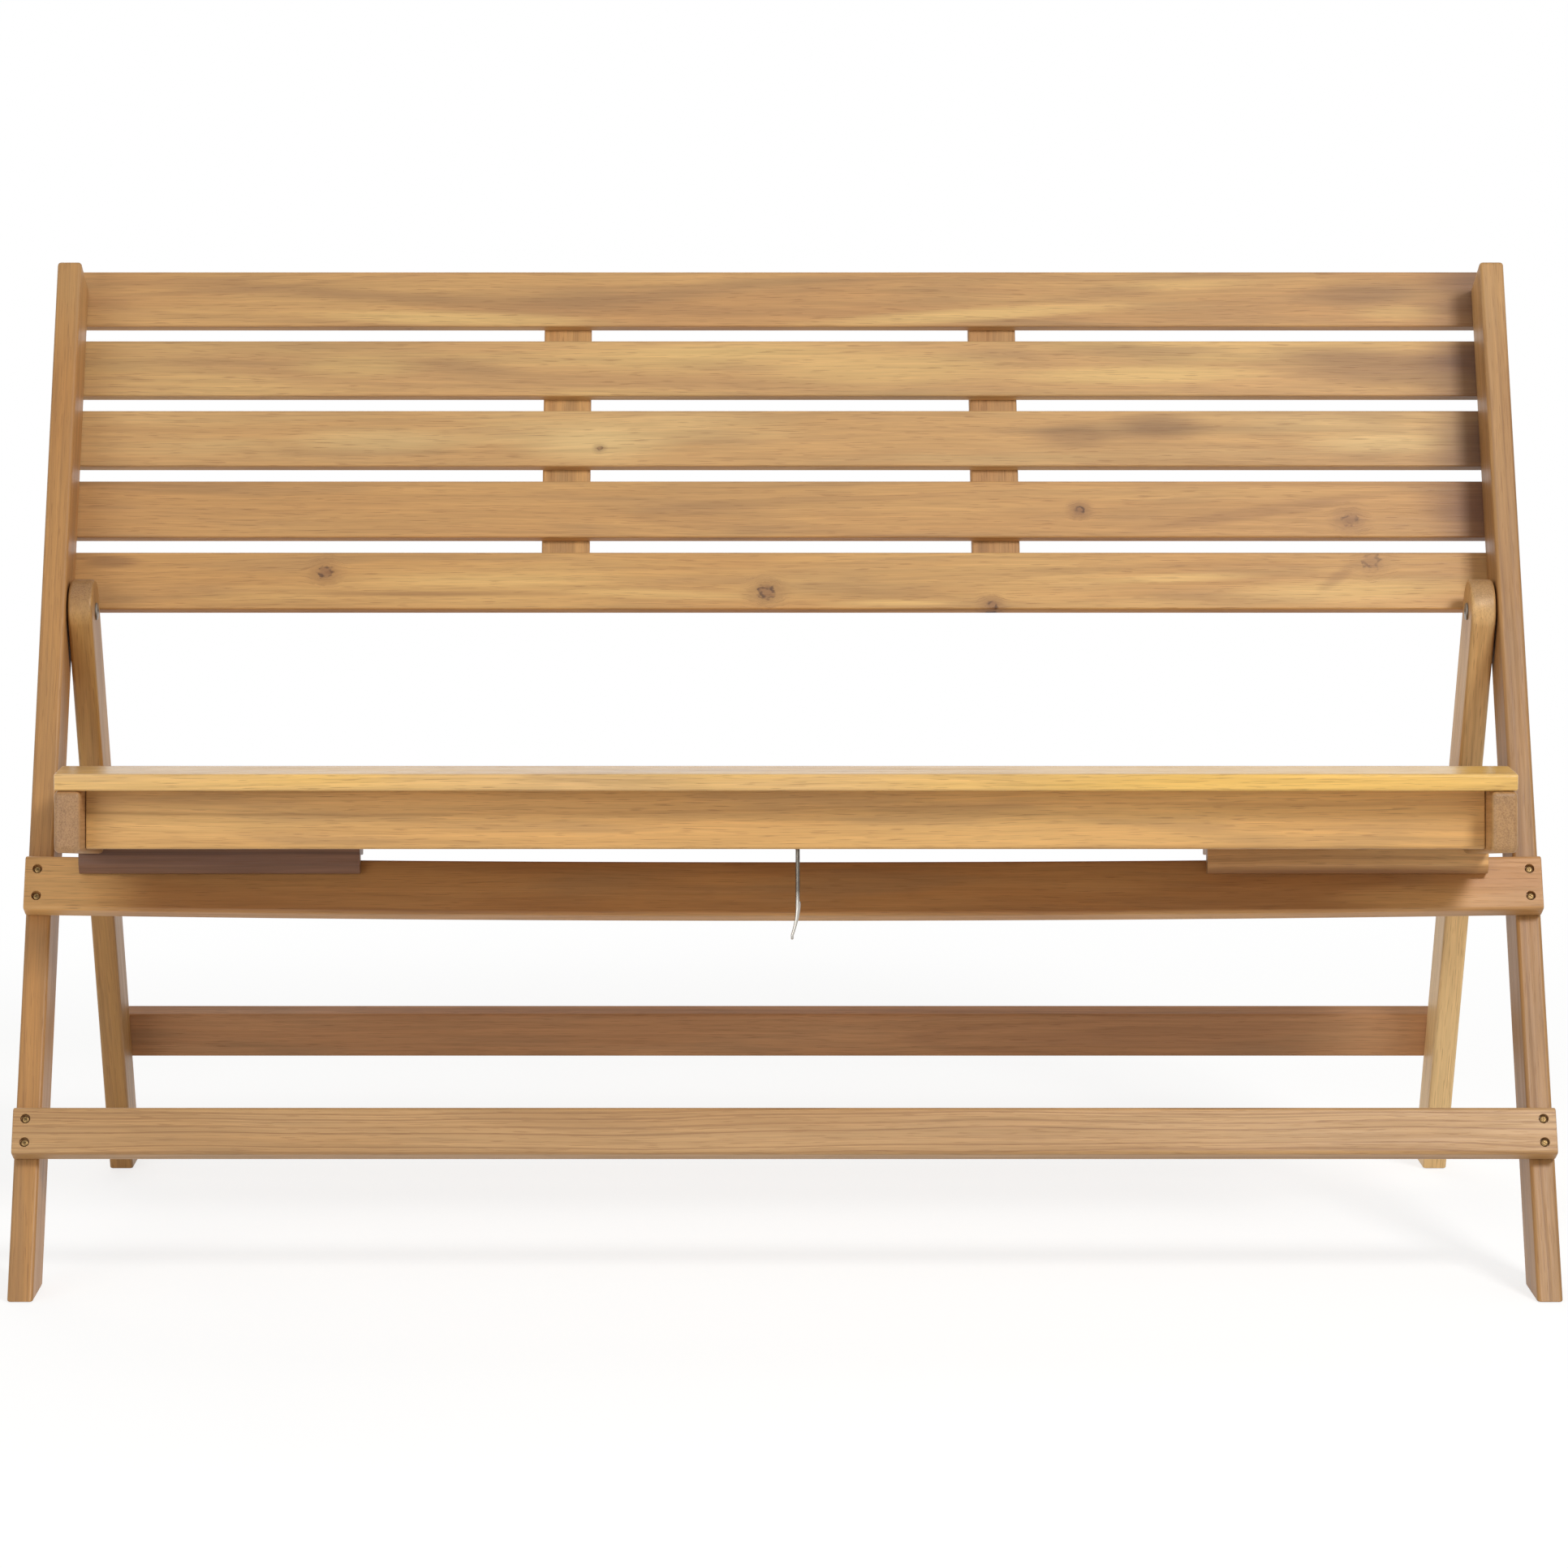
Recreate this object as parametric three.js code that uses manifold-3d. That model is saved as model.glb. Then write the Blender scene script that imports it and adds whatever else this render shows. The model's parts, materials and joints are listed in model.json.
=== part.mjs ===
// Folding garden bench for two, in oiled acacia. Millimetres, +Z up, the front faces -Y.
// Two leaning front posts carry the backrest. The rear legs swing on the posts, the seat swings on
// the rear legs, and two cleats under the seat hook over the upper front rail when the bench stands.
import * as THREE from 'three';
import { mergeVertices } from 'three/addons/utils/BufferGeometryUtils.js';
import Module from 'manifold-3d';

// The whole bench
const benchWidth = 1200;
const memberThickness = 20;
const seatedGap = 0.3;
const cutOverrun = 2;
const arrisRadius = 2.5;
const endEase = 1;

// Front posts, measured along the post from its front foot
const postLeanDegrees = 28.1;
const postLength = 890;
const postDepth = 54;
const legPivotHeight = 587;
const legPivotDepth = 27;

// Front rails, on the posts' front faces
const frontRailThickness = 17;
const lowerRailTopHeight = 152;
const lowerRailHeight = 38;
const upperRailTopHeight = 360;
const upperRailHeight = 45;
const upperRailSagDepth = 5;
const sagSteps = 12;

// Backrest, on the posts' back faces
const slatWidth = 50.5;
const backSlatThickness = 10;
const backSlatGap = 13.5;
const lowestSlatClearance = 10;
const backrestOverhangLength = 17;
const backBattenSpacing = 355.4;
const backBattenWidth = 39.5;
const backBattenThickness = 15;
const backBattenEndGap = 10;

// Rear legs and their rail
const legLeanDegrees = 24.9;
const legDepth = 52;
const legToPostGap = 1.5;
const rearRailTopHeight = 125;
const rearRailHeight = 44;
const rearRailThickness = 16.5;

// Seat; its overhang is how far it stands out ahead of the upper front rail
const seatSlopeDegrees = 8.5;
const seatToLegGap = 2.5;
const seatOverhangLength = 172;
const seatRearLength = 30;
const seatRailHeight = 54.1;
const seatPivotDepth = 12.6;
const seatFrontCornerRadius = 5;
const seatRearCornerRadius = 24;
const seatSlatThickness = 13;
const seatSlatLeastGap = 11;
const apronSetback = 33;
const apronThickness = 17;
const apronHeight = 48;
const seatBattenThickness = 20;
const seatBattenEndGap = 12;

// Cleats that hook over the upper front rail
const cleatLength = 222;
const cleatNotchDepth = 7.5;
const cleatTongueThickness = 8;
const cleatTongueReach = 22;
const cleatLipThickness = 12;
const cleatLipDrop = 15;
const cleatLipClearance = 6.1;
const cleatBevelHeight = 7;
const cleatBevelDepth = 5;

// Pivot hardware: a sleeve nut with a thin flat head, a cap screw and a spacer washer
const pivotSides = 20;
const sleeveRadius = 4;
const sleeveBoreRadius = 2.9;
const pivotHeadRadius = 7;
const sleeveHeadThickness = 1.5;
const capHeadThickness = 2.2;
const capSinkDepth = 2.8;
const capShankRadius = 2.4;
const capShankLength = 14;
const washerRadius = 9;

// Rail screws, sunk in counterbores
const screwSides = 14;
const screwHeadRadius = 2.9;
const screwHeadThickness = 2;
const screwSinkDepth = 2.6;
const screwCounterboreRadius = 3.9;
const screwShankRadius = 1.8;
const screwBiteLength = 24;
const screwTipLength = 3;
const screwSpacingShare = 0.5;

// Lock: a wire hook that hangs from a screw eye behind the apron
const hookSideOffset = 9.7;
const hookWireRadius = 1.6;
const hookLoopRadius = 4.2;
const hookReach = 76;
const hookTipLength = 24;
const hookTipSideLength = -5;
const hookTipBackLength = 3;
const hookLoopOpenDegrees = 50;
const hookLoopSteps = 12;
const hookShankSteps = 16;
const hookSides = 8;
const hookGap = 0.6;
const eyeRingRadius = 4;
const eyeWireRadius = 1.3;
const eyeShankLength = 12;
const eyeStandoffLength = 6.3;
const eyeHeightOverApron = 6;
const eyeRingSides = 20;

// Finishes
const acacia = { color: 0xb98752, roughness: 0.55, metalness: 0 };
const paleAcacia = { color: 0xcda873, roughness: 0.55, metalness: 0 };
const darkAcacia = { color: 0x8a5a38, roughness: 0.6, metalness: 0 };
const zinc = { color: 0xb4b4ae, roughness: 0.35, metalness: 1 };
const brassedSteel = { color: 0xb8965a, roughness: 0.35, metalness: 1 };

const wasm = await Module();
wasm.setup();

// Turns a side-view offset by an angle about +X. Side-view points hold back as x and up as y.
function turned(back, up, angle) {
  return new THREE.Vector2(back, up).rotateAround(new THREE.Vector2(), angle);
}

// Sizes that follow from the driving dimensions
const postLean = THREE.MathUtils.degToRad(postLeanDegrees);
const legLean = THREE.MathUtils.degToRad(legLeanDegrees);
const seatSlope = THREE.MathUtils.degToRad(seatSlopeDegrees);
const halfWidth = benchWidth / 2;
const postInnerX = halfWidth - memberThickness;
const legOuterX = postInnerX - legToPostGap;
const legInnerX = legOuterX - memberThickness;
const seatOuterX = legInnerX - seatToLegGap;
const seatInnerX = seatOuterX - memberThickness;
const legRadius = legDepth / 2;
const topSlatTop = postLength + backrestOverhangLength;
const backSlatSpacing = slatWidth + backSlatGap;
const backrestRoom = topSlatTop - legPivotHeight - lowestSlatClearance;
const backSlatCount = Math.floor((backrestRoom + backSlatGap) / backSlatSpacing);
const legPivot = turned(legPivotDepth, legPivotHeight, -postLean);
const railArris = turned(-seatedGap - frontRailThickness, upperRailTopHeight, -postLean);
const seatUnderSlats = seatPivotDepth;
const seatUnderside = seatUnderSlats - seatRailHeight;
const cleatTop = seatUnderside + cleatNotchDepth - seatedGap;
const tongueUnderside = cleatTop - cleatTongueThickness;
const legDown = turned(0, -1, legLean);
const seatUp = turned(0, 1, -seatSlope);
const seatBack = turned(1, 0, -seatSlope);
const arrisToSeatPivotRise = seatedGap - tongueUnderside;
const arrisToLegPivotRise = legPivot.clone().sub(railArris).dot(seatUp);
const pivotSpacing = (arrisToSeatPivotRise - arrisToLegPivotRise) / legDown.dot(seatUp);
const seatPivot = legPivot.clone().addScaledVector(legDown, pivotSpacing);
const arrisReach = railArris.clone().sub(seatPivot).dot(seatBack);
const seatFrontReach = seatOverhangLength - arrisReach;
const seatLength = seatFrontReach + seatRearLength;
const seatSlatCount = Math.floor((seatLength + seatSlatLeastGap) / (slatWidth + seatSlatLeastGap));
const seatSlatSpacing = (seatLength - slatWidth) / (seatSlatCount - 1);
const apronFront = apronSetback - seatFrontReach;
const apronBack = apronFront + apronThickness;
const hookPlane = apronBack + eyeStandoffLength;

// Closed mesh to solid
function toSolid(geometry) {
  const bare = geometry.clone();
  bare.deleteAttribute('normal');
  bare.deleteAttribute('uv');
  const welded = mergeVertices(bare);
  const vertProperties = new Float32Array(welded.attributes.position.array);
  const triVerts = new Uint32Array(welded.index.array);
  return new wasm.Manifold(new wasm.Mesh({ numProp: 3, vertProperties, triVerts }));
}

// Solid back to a drawable mesh
function toGeometry(solid) {
  const mesh = solid.getMesh();
  const geometry = new THREE.BufferGeometry();
  geometry.setAttribute('position', new THREE.BufferAttribute(mesh.vertProperties, mesh.numProp));
  geometry.setIndex(new THREE.BufferAttribute(mesh.triVerts, 1));
  return geometry;
}

function cut(geometry, cutters) {
  let solid = toSolid(geometry);
  for (const cutter of cutters) {
    solid = solid.subtract(toSolid(cutter));
  }
  return toGeometry(solid);
}

function join(first, second) {
  return toGeometry(toSolid(first).add(toSolid(second)));
}

// A polygon whose corners are rounded by their own radius, as a shape
function roundedShape(corners) {
  const shape = new THREE.Shape();
  corners.forEach((corner, index) => {
    const here = new THREE.Vector2(corner.y, corner.z);
    const before = corners[(index + corners.length - 1) % corners.length];
    const after = corners[(index + 1) % corners.length];
    const back = new THREE.Vector2(before.y, before.z).sub(here).setLength(corner.r).add(here);
    const on = new THREE.Vector2(after.y, after.z).sub(here).setLength(corner.r).add(here);
    if (index === 0) {
      shape.moveTo(back.x, back.y);
    } else {
      shape.lineTo(back.x, back.y);
    }
    if (corner.r > 0) {
      shape.quadraticCurveTo(here.x, here.y, on.x, on.y);
    }
  });
  shape.closePath();
  return shape;
}

// A side-view shape (back, up) pushed out along X from one face to the other, its end edges eased
function acrossX(shape, fromX, toX, curveSegments = 3, steps = 1) {
  const geometry = new THREE.ExtrudeGeometry(shape, {
    depth: toX - fromX - 2 * endEase,
    steps,
    curveSegments,
    bevelSegments: 1,
    bevelThickness: endEase,
    bevelSize: endEase,
    bevelOffset: -endEase,
  });
  const lie = new THREE.Matrix4();
  lie.makeBasis(new THREE.Vector3(0, 1, 0), new THREE.Vector3(0, 0, 1), new THREE.Vector3(1, 0, 0));
  geometry.applyMatrix4(lie);
  geometry.translate(fromX + endEase, 0, 0);
  return geometry;
}

// A board whose long way runs along X, from one X to another
function board(fromX, toX, front, back, bottom, top, steps = 1) {
  const shape = roundedShape([
    { y: front, z: bottom, r: arrisRadius },
    { y: back, z: bottom, r: arrisRadius },
    { y: back, z: top, r: arrisRadius },
    { y: front, z: top, r: arrisRadius },
  ]);
  return acrossX(shape, fromX, toX, 3, steps);
}

// A round bar along X or Y between two places on that axis
function barAlongX(radius, fromX, toX, back, up, sides) {
  const geometry = new THREE.CylinderGeometry(radius, radius, toX - fromX, sides);
  geometry.rotateZ(-Math.PI / 2);
  geometry.translate((fromX + toX) / 2, back, up);
  return geometry;
}

function barAlongY(radius, fromY, toY, x, up, sides) {
  const geometry = new THREE.CylinderGeometry(radius, radius, toY - fromY, sides);
  geometry.translate(x, (fromY + toY) / 2, up);
  return geometry;
}

// A turned piece: radius and distance pairs, its axis laid along X or Y
function turnedAlongX(profile, side, sides, back, up) {
  const points = profile.map(([radius, distance]) => new THREE.Vector2(radius, distance));
  const geometry = new THREE.LatheGeometry(points, sides);
  geometry.rotateZ(-Math.PI / 2);
  if (side < 0) {
    geometry.rotateZ(Math.PI);
  }
  geometry.translate(0, back, up);
  return geometry;
}

function turnedAlongY(profile, sides, x, up) {
  const points = profile.map(([radius, distance]) => new THREE.Vector2(radius, distance));
  const geometry = new THREE.LatheGeometry(points, sides);
  geometry.translate(x, 0, up);
  return geometry;
}

function piece(name, geometry, finish) {
  const mesh = new THREE.Mesh(geometry, new THREE.MeshStandardMaterial(finish));
  mesh.name = name;
  return mesh;
}

// A side is its name and its sign along X
const sidePairs = [['left', -1], ['right', 1]];

// The X limits of a piece that runs from an inner to an outer distance on one side
function sideSpan(side, innerX, outerX) {
  return side > 0 ? [innerX, outerX] : [-outerX, -innerX];
}

// Front posts

// The hole for a rail screw's shank, from the post's front face inwards
function postScrewHole(x, up) {
  const depth = screwBiteLength + seatedGap;
  return barAlongY(screwShankRadius + seatedGap, -cutOverrun, depth, x, up, screwSides);
}

function postScrewHeights() {
  const lower = screwHeights(lowerRailTopHeight, lowerRailHeight);
  const upper = screwHeights(upperRailTopHeight, upperRailHeight);
  return [...lower, ...upper];
}

function screwHeights(railTop, railHeight) {
  const middle = railTop - railHeight / 2;
  const half = (railHeight * screwSpacingShare) / 2;
  return [middle - half, middle + half];
}

function post(name, side) {
  const [fromX, toX] = sideSpan(side, postInnerX, halfWidth);
  const shape = roundedShape([
    { y: 0, z: 0, r: 0 },
    { y: postDepth, z: postDepth * Math.tan(postLean), r: 0 },
    { y: postDepth, z: postLength, r: arrisRadius },
    { y: 0, z: postLength, r: arrisRadius },
  ]);
  const middleX = (fromX + toX) / 2;
  const cutters = postScrewHeights().map((up) => postScrewHole(middleX, up));
  cutters.push(...pivotCutters(side, postInnerX, halfWidth, legPivotDepth, legPivotHeight));
  return piece(name, cut(acrossX(shape, fromX, toX, 2), cutters), acacia);
}

// The bore of a pivot through a member, and the sink for its cap head in the outer face
function pivotCutters(side, innerX, outerX, back, up) {
  const bore = sideSpan(side, innerX - cutOverrun, outerX + cutOverrun);
  const sink = sideSpan(side, outerX - capSinkDepth, outerX + cutOverrun);
  return [
    barAlongX(sleeveRadius + seatedGap, ...bore, back, up, pivotSides),
    barAlongX(pivotHeadRadius + seatedGap, ...sink, back, up, pivotSides),
  ];
}

// Front rails and their screws

// Bends a rail down towards its middle by its sag
function bow(geometry, sag) {
  const place = geometry.attributes.position;
  for (let i = 0; i < place.count; i += 1) {
    const share = place.getX(i) / halfWidth;
    place.setZ(i, place.getZ(i) - sag * (1 - share * share));
  }
  return geometry;
}

function frontRail(name, top, height, sag, finish) {
  const back = -seatedGap;
  const front = back - frontRailThickness;
  const steps = sag > 0 ? sagSteps : 1;
  const rail = bow(board(-halfWidth, halfWidth, front, back, top - height, top, steps), sag);
  const screwX = (postInnerX + halfWidth) / 2;
  const cutters = [];
  for (const x of [-screwX, screwX]) {
    for (const up of screwHeights(top, height)) {
      cutters.push(...railScrewCutters(front, back, x, up));
    }
  }
  return piece(name, cut(rail, cutters), finish);
}

// The clearance hole and the counterbore of a screw in a rail whose outer face is at fromY
function railScrewCutters(fromY, toY, x, up) {
  const out = Math.sign(fromY - toY);
  const outside = fromY + out * cutOverrun;
  const inside = toY - out * cutOverrun;
  const sink = fromY - out * screwSinkDepth;
  const shank = [Math.min(outside, inside), Math.max(outside, inside)];
  const counterbore = [Math.min(outside, sink), Math.max(outside, sink)];
  return [
    barAlongY(screwShankRadius + seatedGap, ...shank, x, up, screwSides),
    barAlongY(screwCounterboreRadius, ...counterbore, x, up, screwSides),
  ];
}

// A screw whose head sits in the counterbore; into is +1 when it points to +Y
function railScrew(name, faceY, into, railThickness, x, up) {
  const headBack = screwSinkDepth - seatedGap;
  const headFront = headBack - screwHeadThickness;
  const tip = railThickness + screwBiteLength;
  const profile = [
    [0, headFront],
    [screwHeadRadius, headFront],
    [screwHeadRadius, headBack],
    [screwShankRadius, headBack],
    [screwShankRadius, tip - screwTipLength],
    [0, tip],
  ];
  const geometry = turnedAlongY(profile, screwSides, 0, 0);
  if (into < 0) {
    geometry.rotateZ(Math.PI);
  }
  geometry.translate(x, faceY, up);
  return piece(name, geometry, brassedSteel);
}

function frontRailScrews() {
  const screws = [];
  const front = -seatedGap - frontRailThickness;
  const rails = [
    ['lower', lowerRailTopHeight, lowerRailHeight],
    ['upper', upperRailTopHeight, upperRailHeight],
  ];
  for (const [level, top, height] of rails) {
    for (const [sideName, side] of sidePairs) {
      const x = (side * (postInnerX + halfWidth)) / 2;
      screwHeights(top, height).forEach((up, index) => {
        const name = `rail_screw_${level}_${sideName}_${index + 1}`;
        screws.push(railScrew(name, front, 1, frontRailThickness, x, up));
      });
    }
  }
  return screws;
}

// Backrest

function backSlat(index) {
  const top = topSlatTop - index * backSlatSpacing;
  const front = postDepth + seatedGap;
  const geometry = board(-halfWidth, halfWidth, front, front + backSlatThickness, top - slatWidth, top);
  return piece(`back_slat_${index + 1}`, geometry, index % 2 ? paleAcacia : acacia);
}

function backBatten(name, side) {
  const middle = (side * backBattenSpacing) / 2;
  const front = postDepth + backSlatThickness + 2 * seatedGap;
  const lastBottom = topSlatTop - (backSlatCount - 1) * backSlatSpacing - slatWidth;
  const geometry = board(
    middle - backBattenWidth / 2,
    middle + backBattenWidth / 2,
    front,
    front + backBattenThickness,
    lastBottom + backBattenEndGap,
    topSlatTop - backBattenEndGap,
  );
  return piece(name, geometry, acacia);
}

function postFrame() {
  const frame = new THREE.Group();
  frame.rotation.x = -postLean;
  for (const [sideName, side] of sidePairs) {
    frame.add(post(`post_${sideName}`, side));
    frame.add(backBatten(`back_batten_${sideName}`, side));
  }
  frame.add(frontRail('front_rail_lower', lowerRailTopHeight, lowerRailHeight, 0, paleAcacia));
  frame.add(frontRail('front_rail_upper', upperRailTopHeight, upperRailHeight, upperRailSagDepth, acacia));
  for (let index = 0; index < backSlatCount; index += 1) {
    frame.add(backSlat(index));
  }
  frame.add(...frontRailScrews());
  return frame;
}

// Pivots

// Sleeve nut, cap screw and washer through an inner and an outer member on one side
function pivotSet(name, sideName, side, inner, outer) {
  const [innerFace, joinInner] = inner;
  const [joinOuter, outerFace] = outer;
  const headBack = innerFace - seatedGap;
  const sleeveEnd = outerFace - capSinkDepth - seatedGap;
  const capOuter = outerFace - seatedGap;
  const capInner = capOuter - capHeadThickness;
  const boreEnd = sleeveEnd - capShankLength - seatedGap;
  const sleeve = [
    [0, headBack - sleeveHeadThickness],
    [pivotHeadRadius - endEase, headBack - sleeveHeadThickness],
    [pivotHeadRadius, headBack - sleeveHeadThickness / 2],
    [pivotHeadRadius, headBack],
    [sleeveRadius, headBack],
    [sleeveRadius, sleeveEnd],
    [sleeveBoreRadius, sleeveEnd],
    [sleeveBoreRadius, boreEnd],
    [0, boreEnd],
  ];
  const cap = [
    [0, capInner - capShankLength],
    [capShankRadius, capInner - capShankLength],
    [capShankRadius, capInner],
    [pivotHeadRadius, capInner],
    [pivotHeadRadius, capOuter],
    [0, capOuter],
  ];
  const washerBore = sleeveRadius + seatedGap;
  const washer = [
    [washerBore, joinInner + seatedGap],
    [washerRadius, joinInner + seatedGap],
    [washerRadius, joinOuter - seatedGap],
    [washerBore, joinOuter - seatedGap],
    [washerBore, joinInner + seatedGap],
  ];
  const make = (profile) => turnedAlongX(profile, side, pivotSides, 0, 0);
  return [
    piece(`${name}_sleeve_${sideName}`, make(sleeve), zinc),
    piece(`${name}_screw_${sideName}`, make(cap), zinc),
    piece(`${name}_washer_${sideName}`, make(washer), zinc),
  ];
}

// Rear legs

function rearLeg(name, side) {
  const [fromX, toX] = sideSpan(side, legInnerX, legOuterX);
  const groundAt = (back) => -(legPivot.y + back * Math.sin(legLean)) / Math.cos(legLean);
  const shape = new THREE.Shape();
  shape.moveTo(-legRadius, groundAt(-legRadius));
  shape.lineTo(legRadius, groundAt(legRadius));
  shape.lineTo(legRadius, 0);
  shape.absarc(0, 0, legRadius, 0, Math.PI, false);
  shape.closePath();
  const middleX = (fromX + toX) / 2;
  const bore = [fromX - cutOverrun, toX + cutOverrun];
  const cutters = [barAlongX(sleeveRadius + seatedGap, ...bore, 0, 0, pivotSides)];
  cutters.push(...pivotCutters(side, legInnerX, legOuterX, 0, -pivotSpacing));
  for (const up of rearScrewHeights()) {
    const depth = legRadius - screwBiteLength - seatedGap;
    const hole = [depth, legRadius + cutOverrun];
    cutters.push(barAlongY(screwShankRadius + seatedGap, ...hole, middleX, up, screwSides));
  }
  return piece(name, cut(acrossX(shape, fromX, toX, pivotSides), cutters), acacia);
}

function rearRailTopBelowPivot() {
  const frontArris = (legPivot.y - legRadius * Math.sin(legLean)) / Math.cos(legLean);
  return rearRailTopHeight - frontArris;
}

function rearScrewHeights() {
  return screwHeights(rearRailTopBelowPivot(), rearRailHeight);
}

function rearRail() {
  const front = legRadius + seatedGap;
  const back = front + rearRailThickness;
  const top = rearRailTopBelowPivot();
  const geometry = board(-legOuterX, legOuterX, front, back, top - rearRailHeight, top);
  const screwX = (legInnerX + legOuterX) / 2;
  const cutters = [];
  for (const x of [-screwX, screwX]) {
    for (const up of rearScrewHeights()) {
      cutters.push(...railScrewCutters(back, front, x, up));
    }
  }
  return piece('rear_rail', cut(geometry, cutters), paleAcacia);
}

function rearRailScrews() {
  const screws = [];
  const back = legRadius + seatedGap + rearRailThickness;
  for (const [sideName, side] of sidePairs) {
    const x = (side * (legInnerX + legOuterX)) / 2;
    rearScrewHeights().forEach((up, index) => {
      screws.push(railScrew(`rear_screw_${sideName}_${index + 1}`, back, -1, rearRailThickness, x, up));
    });
  }
  return screws;
}

function rearLegFrame() {
  const frame = new THREE.Group();
  frame.position.set(0, legPivot.x, legPivot.y);
  frame.rotation.x = legLean;
  for (const [sideName, side] of sidePairs) {
    frame.add(rearLeg(`rear_leg_${sideName}`, side));
    const inner = [legInnerX, legOuterX];
    frame.add(...pivotSet('leg_pivot', sideName, side, inner, [postInnerX, halfWidth]));
  }
  frame.add(rearRail());
  frame.add(...rearRailScrews());
  return frame;
}

// Seat

// How far the seat rail's top has dropped at its front end, so that the front slat lies level
function frontDrop() {
  return slatWidth * Math.tan(seatSlope);
}

function seatRail(name, side) {
  const [fromX, toX] = sideSpan(side, seatInnerX, seatOuterX);
  const shape = roundedShape([
    { y: -seatFrontReach, z: seatUnderside, r: seatFrontCornerRadius },
    { y: seatRearLength, z: seatUnderside, r: seatRearCornerRadius },
    { y: seatRearLength, z: seatUnderSlats, r: arrisRadius },
    { y: slatWidth - seatFrontReach, z: seatUnderSlats, r: 0 },
    { y: -seatFrontReach, z: seatUnderSlats - frontDrop(), r: 0 },
  ]);
  const through = [fromX - cutOverrun, toX + cutOverrun];
  const cutters = [cleatNotch(...through)];
  cutters.push(barAlongX(sleeveRadius + seatedGap, ...through, 0, 0, pivotSides));
  return piece(name, cut(acrossX(shape, fromX, toX, 5), cutters), acacia);
}

// The cleat's front and back, measured from the seat pivot
function cleatFront() {
  return arrisReach - cleatLipClearance - cleatLipThickness;
}

function cleatBack() {
  return arrisReach + cleatTongueReach;
}

// The shallow notch under a seat rail that takes the cleat
function cleatNotch(fromX, toX) {
  const depth = cleatNotchDepth + cutOverrun;
  const length = cleatBack() - cleatFront() + 2 * seatedGap;
  const notch = new THREE.BoxGeometry(toX - fromX, length, depth);
  const middle = (cleatFront() + cleatBack()) / 2;
  notch.translate((fromX + toX) / 2, middle, seatUnderside + cleatNotchDepth - depth / 2);
  return notch;
}

function seatCleat(name, side) {
  const [fromX, toX] = sideSpan(side, seatOuterX - cleatLength, seatOuterX);
  const front = cleatFront();
  const lipBack = front + cleatLipThickness;
  const lipUnderside = tongueUnderside - cleatLipDrop;
  const shape = roundedShape([
    { y: front + cleatBevelDepth, z: lipUnderside, r: 0 },
    { y: lipBack, z: lipUnderside, r: 0 },
    { y: lipBack, z: tongueUnderside, r: 0 },
    { y: cleatBack(), z: tongueUnderside, r: 0 },
    { y: cleatBack(), z: cleatTop, r: 0 },
    { y: front, z: cleatTop, r: 0 },
    { y: front, z: lipUnderside + cleatBevelHeight, r: 0 },
  ]);
  return piece(name, acrossX(shape, fromX, toX, 1), side < 0 ? darkAcacia : acacia);
}

// The apron's top, just under the level front slat
function apronTop() {
  return seatUnderSlats - frontDrop() + apronSetback * Math.tan(seatSlope) - seatedGap;
}

function apron() {
  const top = apronTop();
  const halfSpan = seatInnerX - seatedGap;
  const geometry = board(-halfSpan, halfSpan, apronFront, apronBack, top - apronHeight, top);
  const depth = eyeShankLength + seatedGap;
  const pilot = [apronBack - depth, apronBack + cutOverrun];
  const up = eyeHeight() + eyeRingRadius;
  const hole = barAlongY(eyeWireRadius + seatedGap, ...pilot, hookSideOffset, up, hookSides);
  return piece('seat_apron', cut(geometry, [hole]), paleAcacia);
}

function seatSlat(index) {
  const front = index * seatSlatSpacing - seatFrontReach;
  const bottom = seatUnderSlats + seatedGap;
  const span = [-seatOuterX, seatOuterX];
  const name = `seat_slat_${index + 1}`;
  const finish = index % 2 ? paleAcacia : acacia;
  if (index > 0) {
    const top = bottom + seatSlatThickness;
    return piece(name, board(...span, front, front + slatWidth, bottom, top), finish);
  }
  const levelWidth = slatWidth / Math.cos(seatSlope);
  const slat = piece(name, board(...span, -levelWidth, 0, 0, seatSlatThickness), finish);
  slat.position.set(0, front + slatWidth, bottom);
  slat.rotation.x = seatSlope;
  return slat;
}

function seatBatten(name, side) {
  const innerX = seatOuterX - cleatLength;
  const [fromX, toX] = sideSpan(side, innerX, innerX + seatBattenThickness);
  const front = apronBack + seatedGap;
  const back = seatRearLength - seatBattenEndGap;
  const geometry = board(fromX, toX, front, back, cleatTop + seatedGap, seatUnderSlats);
  return piece(name, geometry, acacia);
}

// Lock

// The height of the eye's lowest wire, which the hook hangs from
function eyeHeight() {
  return apronTop() - apronHeight + eyeHeightOverApron;
}

function lockEye() {
  const ring = new THREE.TorusGeometry(eyeRingRadius, eyeWireRadius, hookSides, eyeRingSides);
  ring.rotateY(Math.PI / 2);
  const up = eyeHeight() + eyeRingRadius;
  ring.translate(hookSideOffset, hookPlane, up);
  const ringFront = hookPlane - eyeRingRadius;
  const reach = [apronBack - eyeShankLength, ringFront];
  const shank = barAlongY(eyeWireRadius, ...reach, hookSideOffset, up, hookSides);
  return piece('lock_eye', join(ring, shank), zinc);
}

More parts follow.
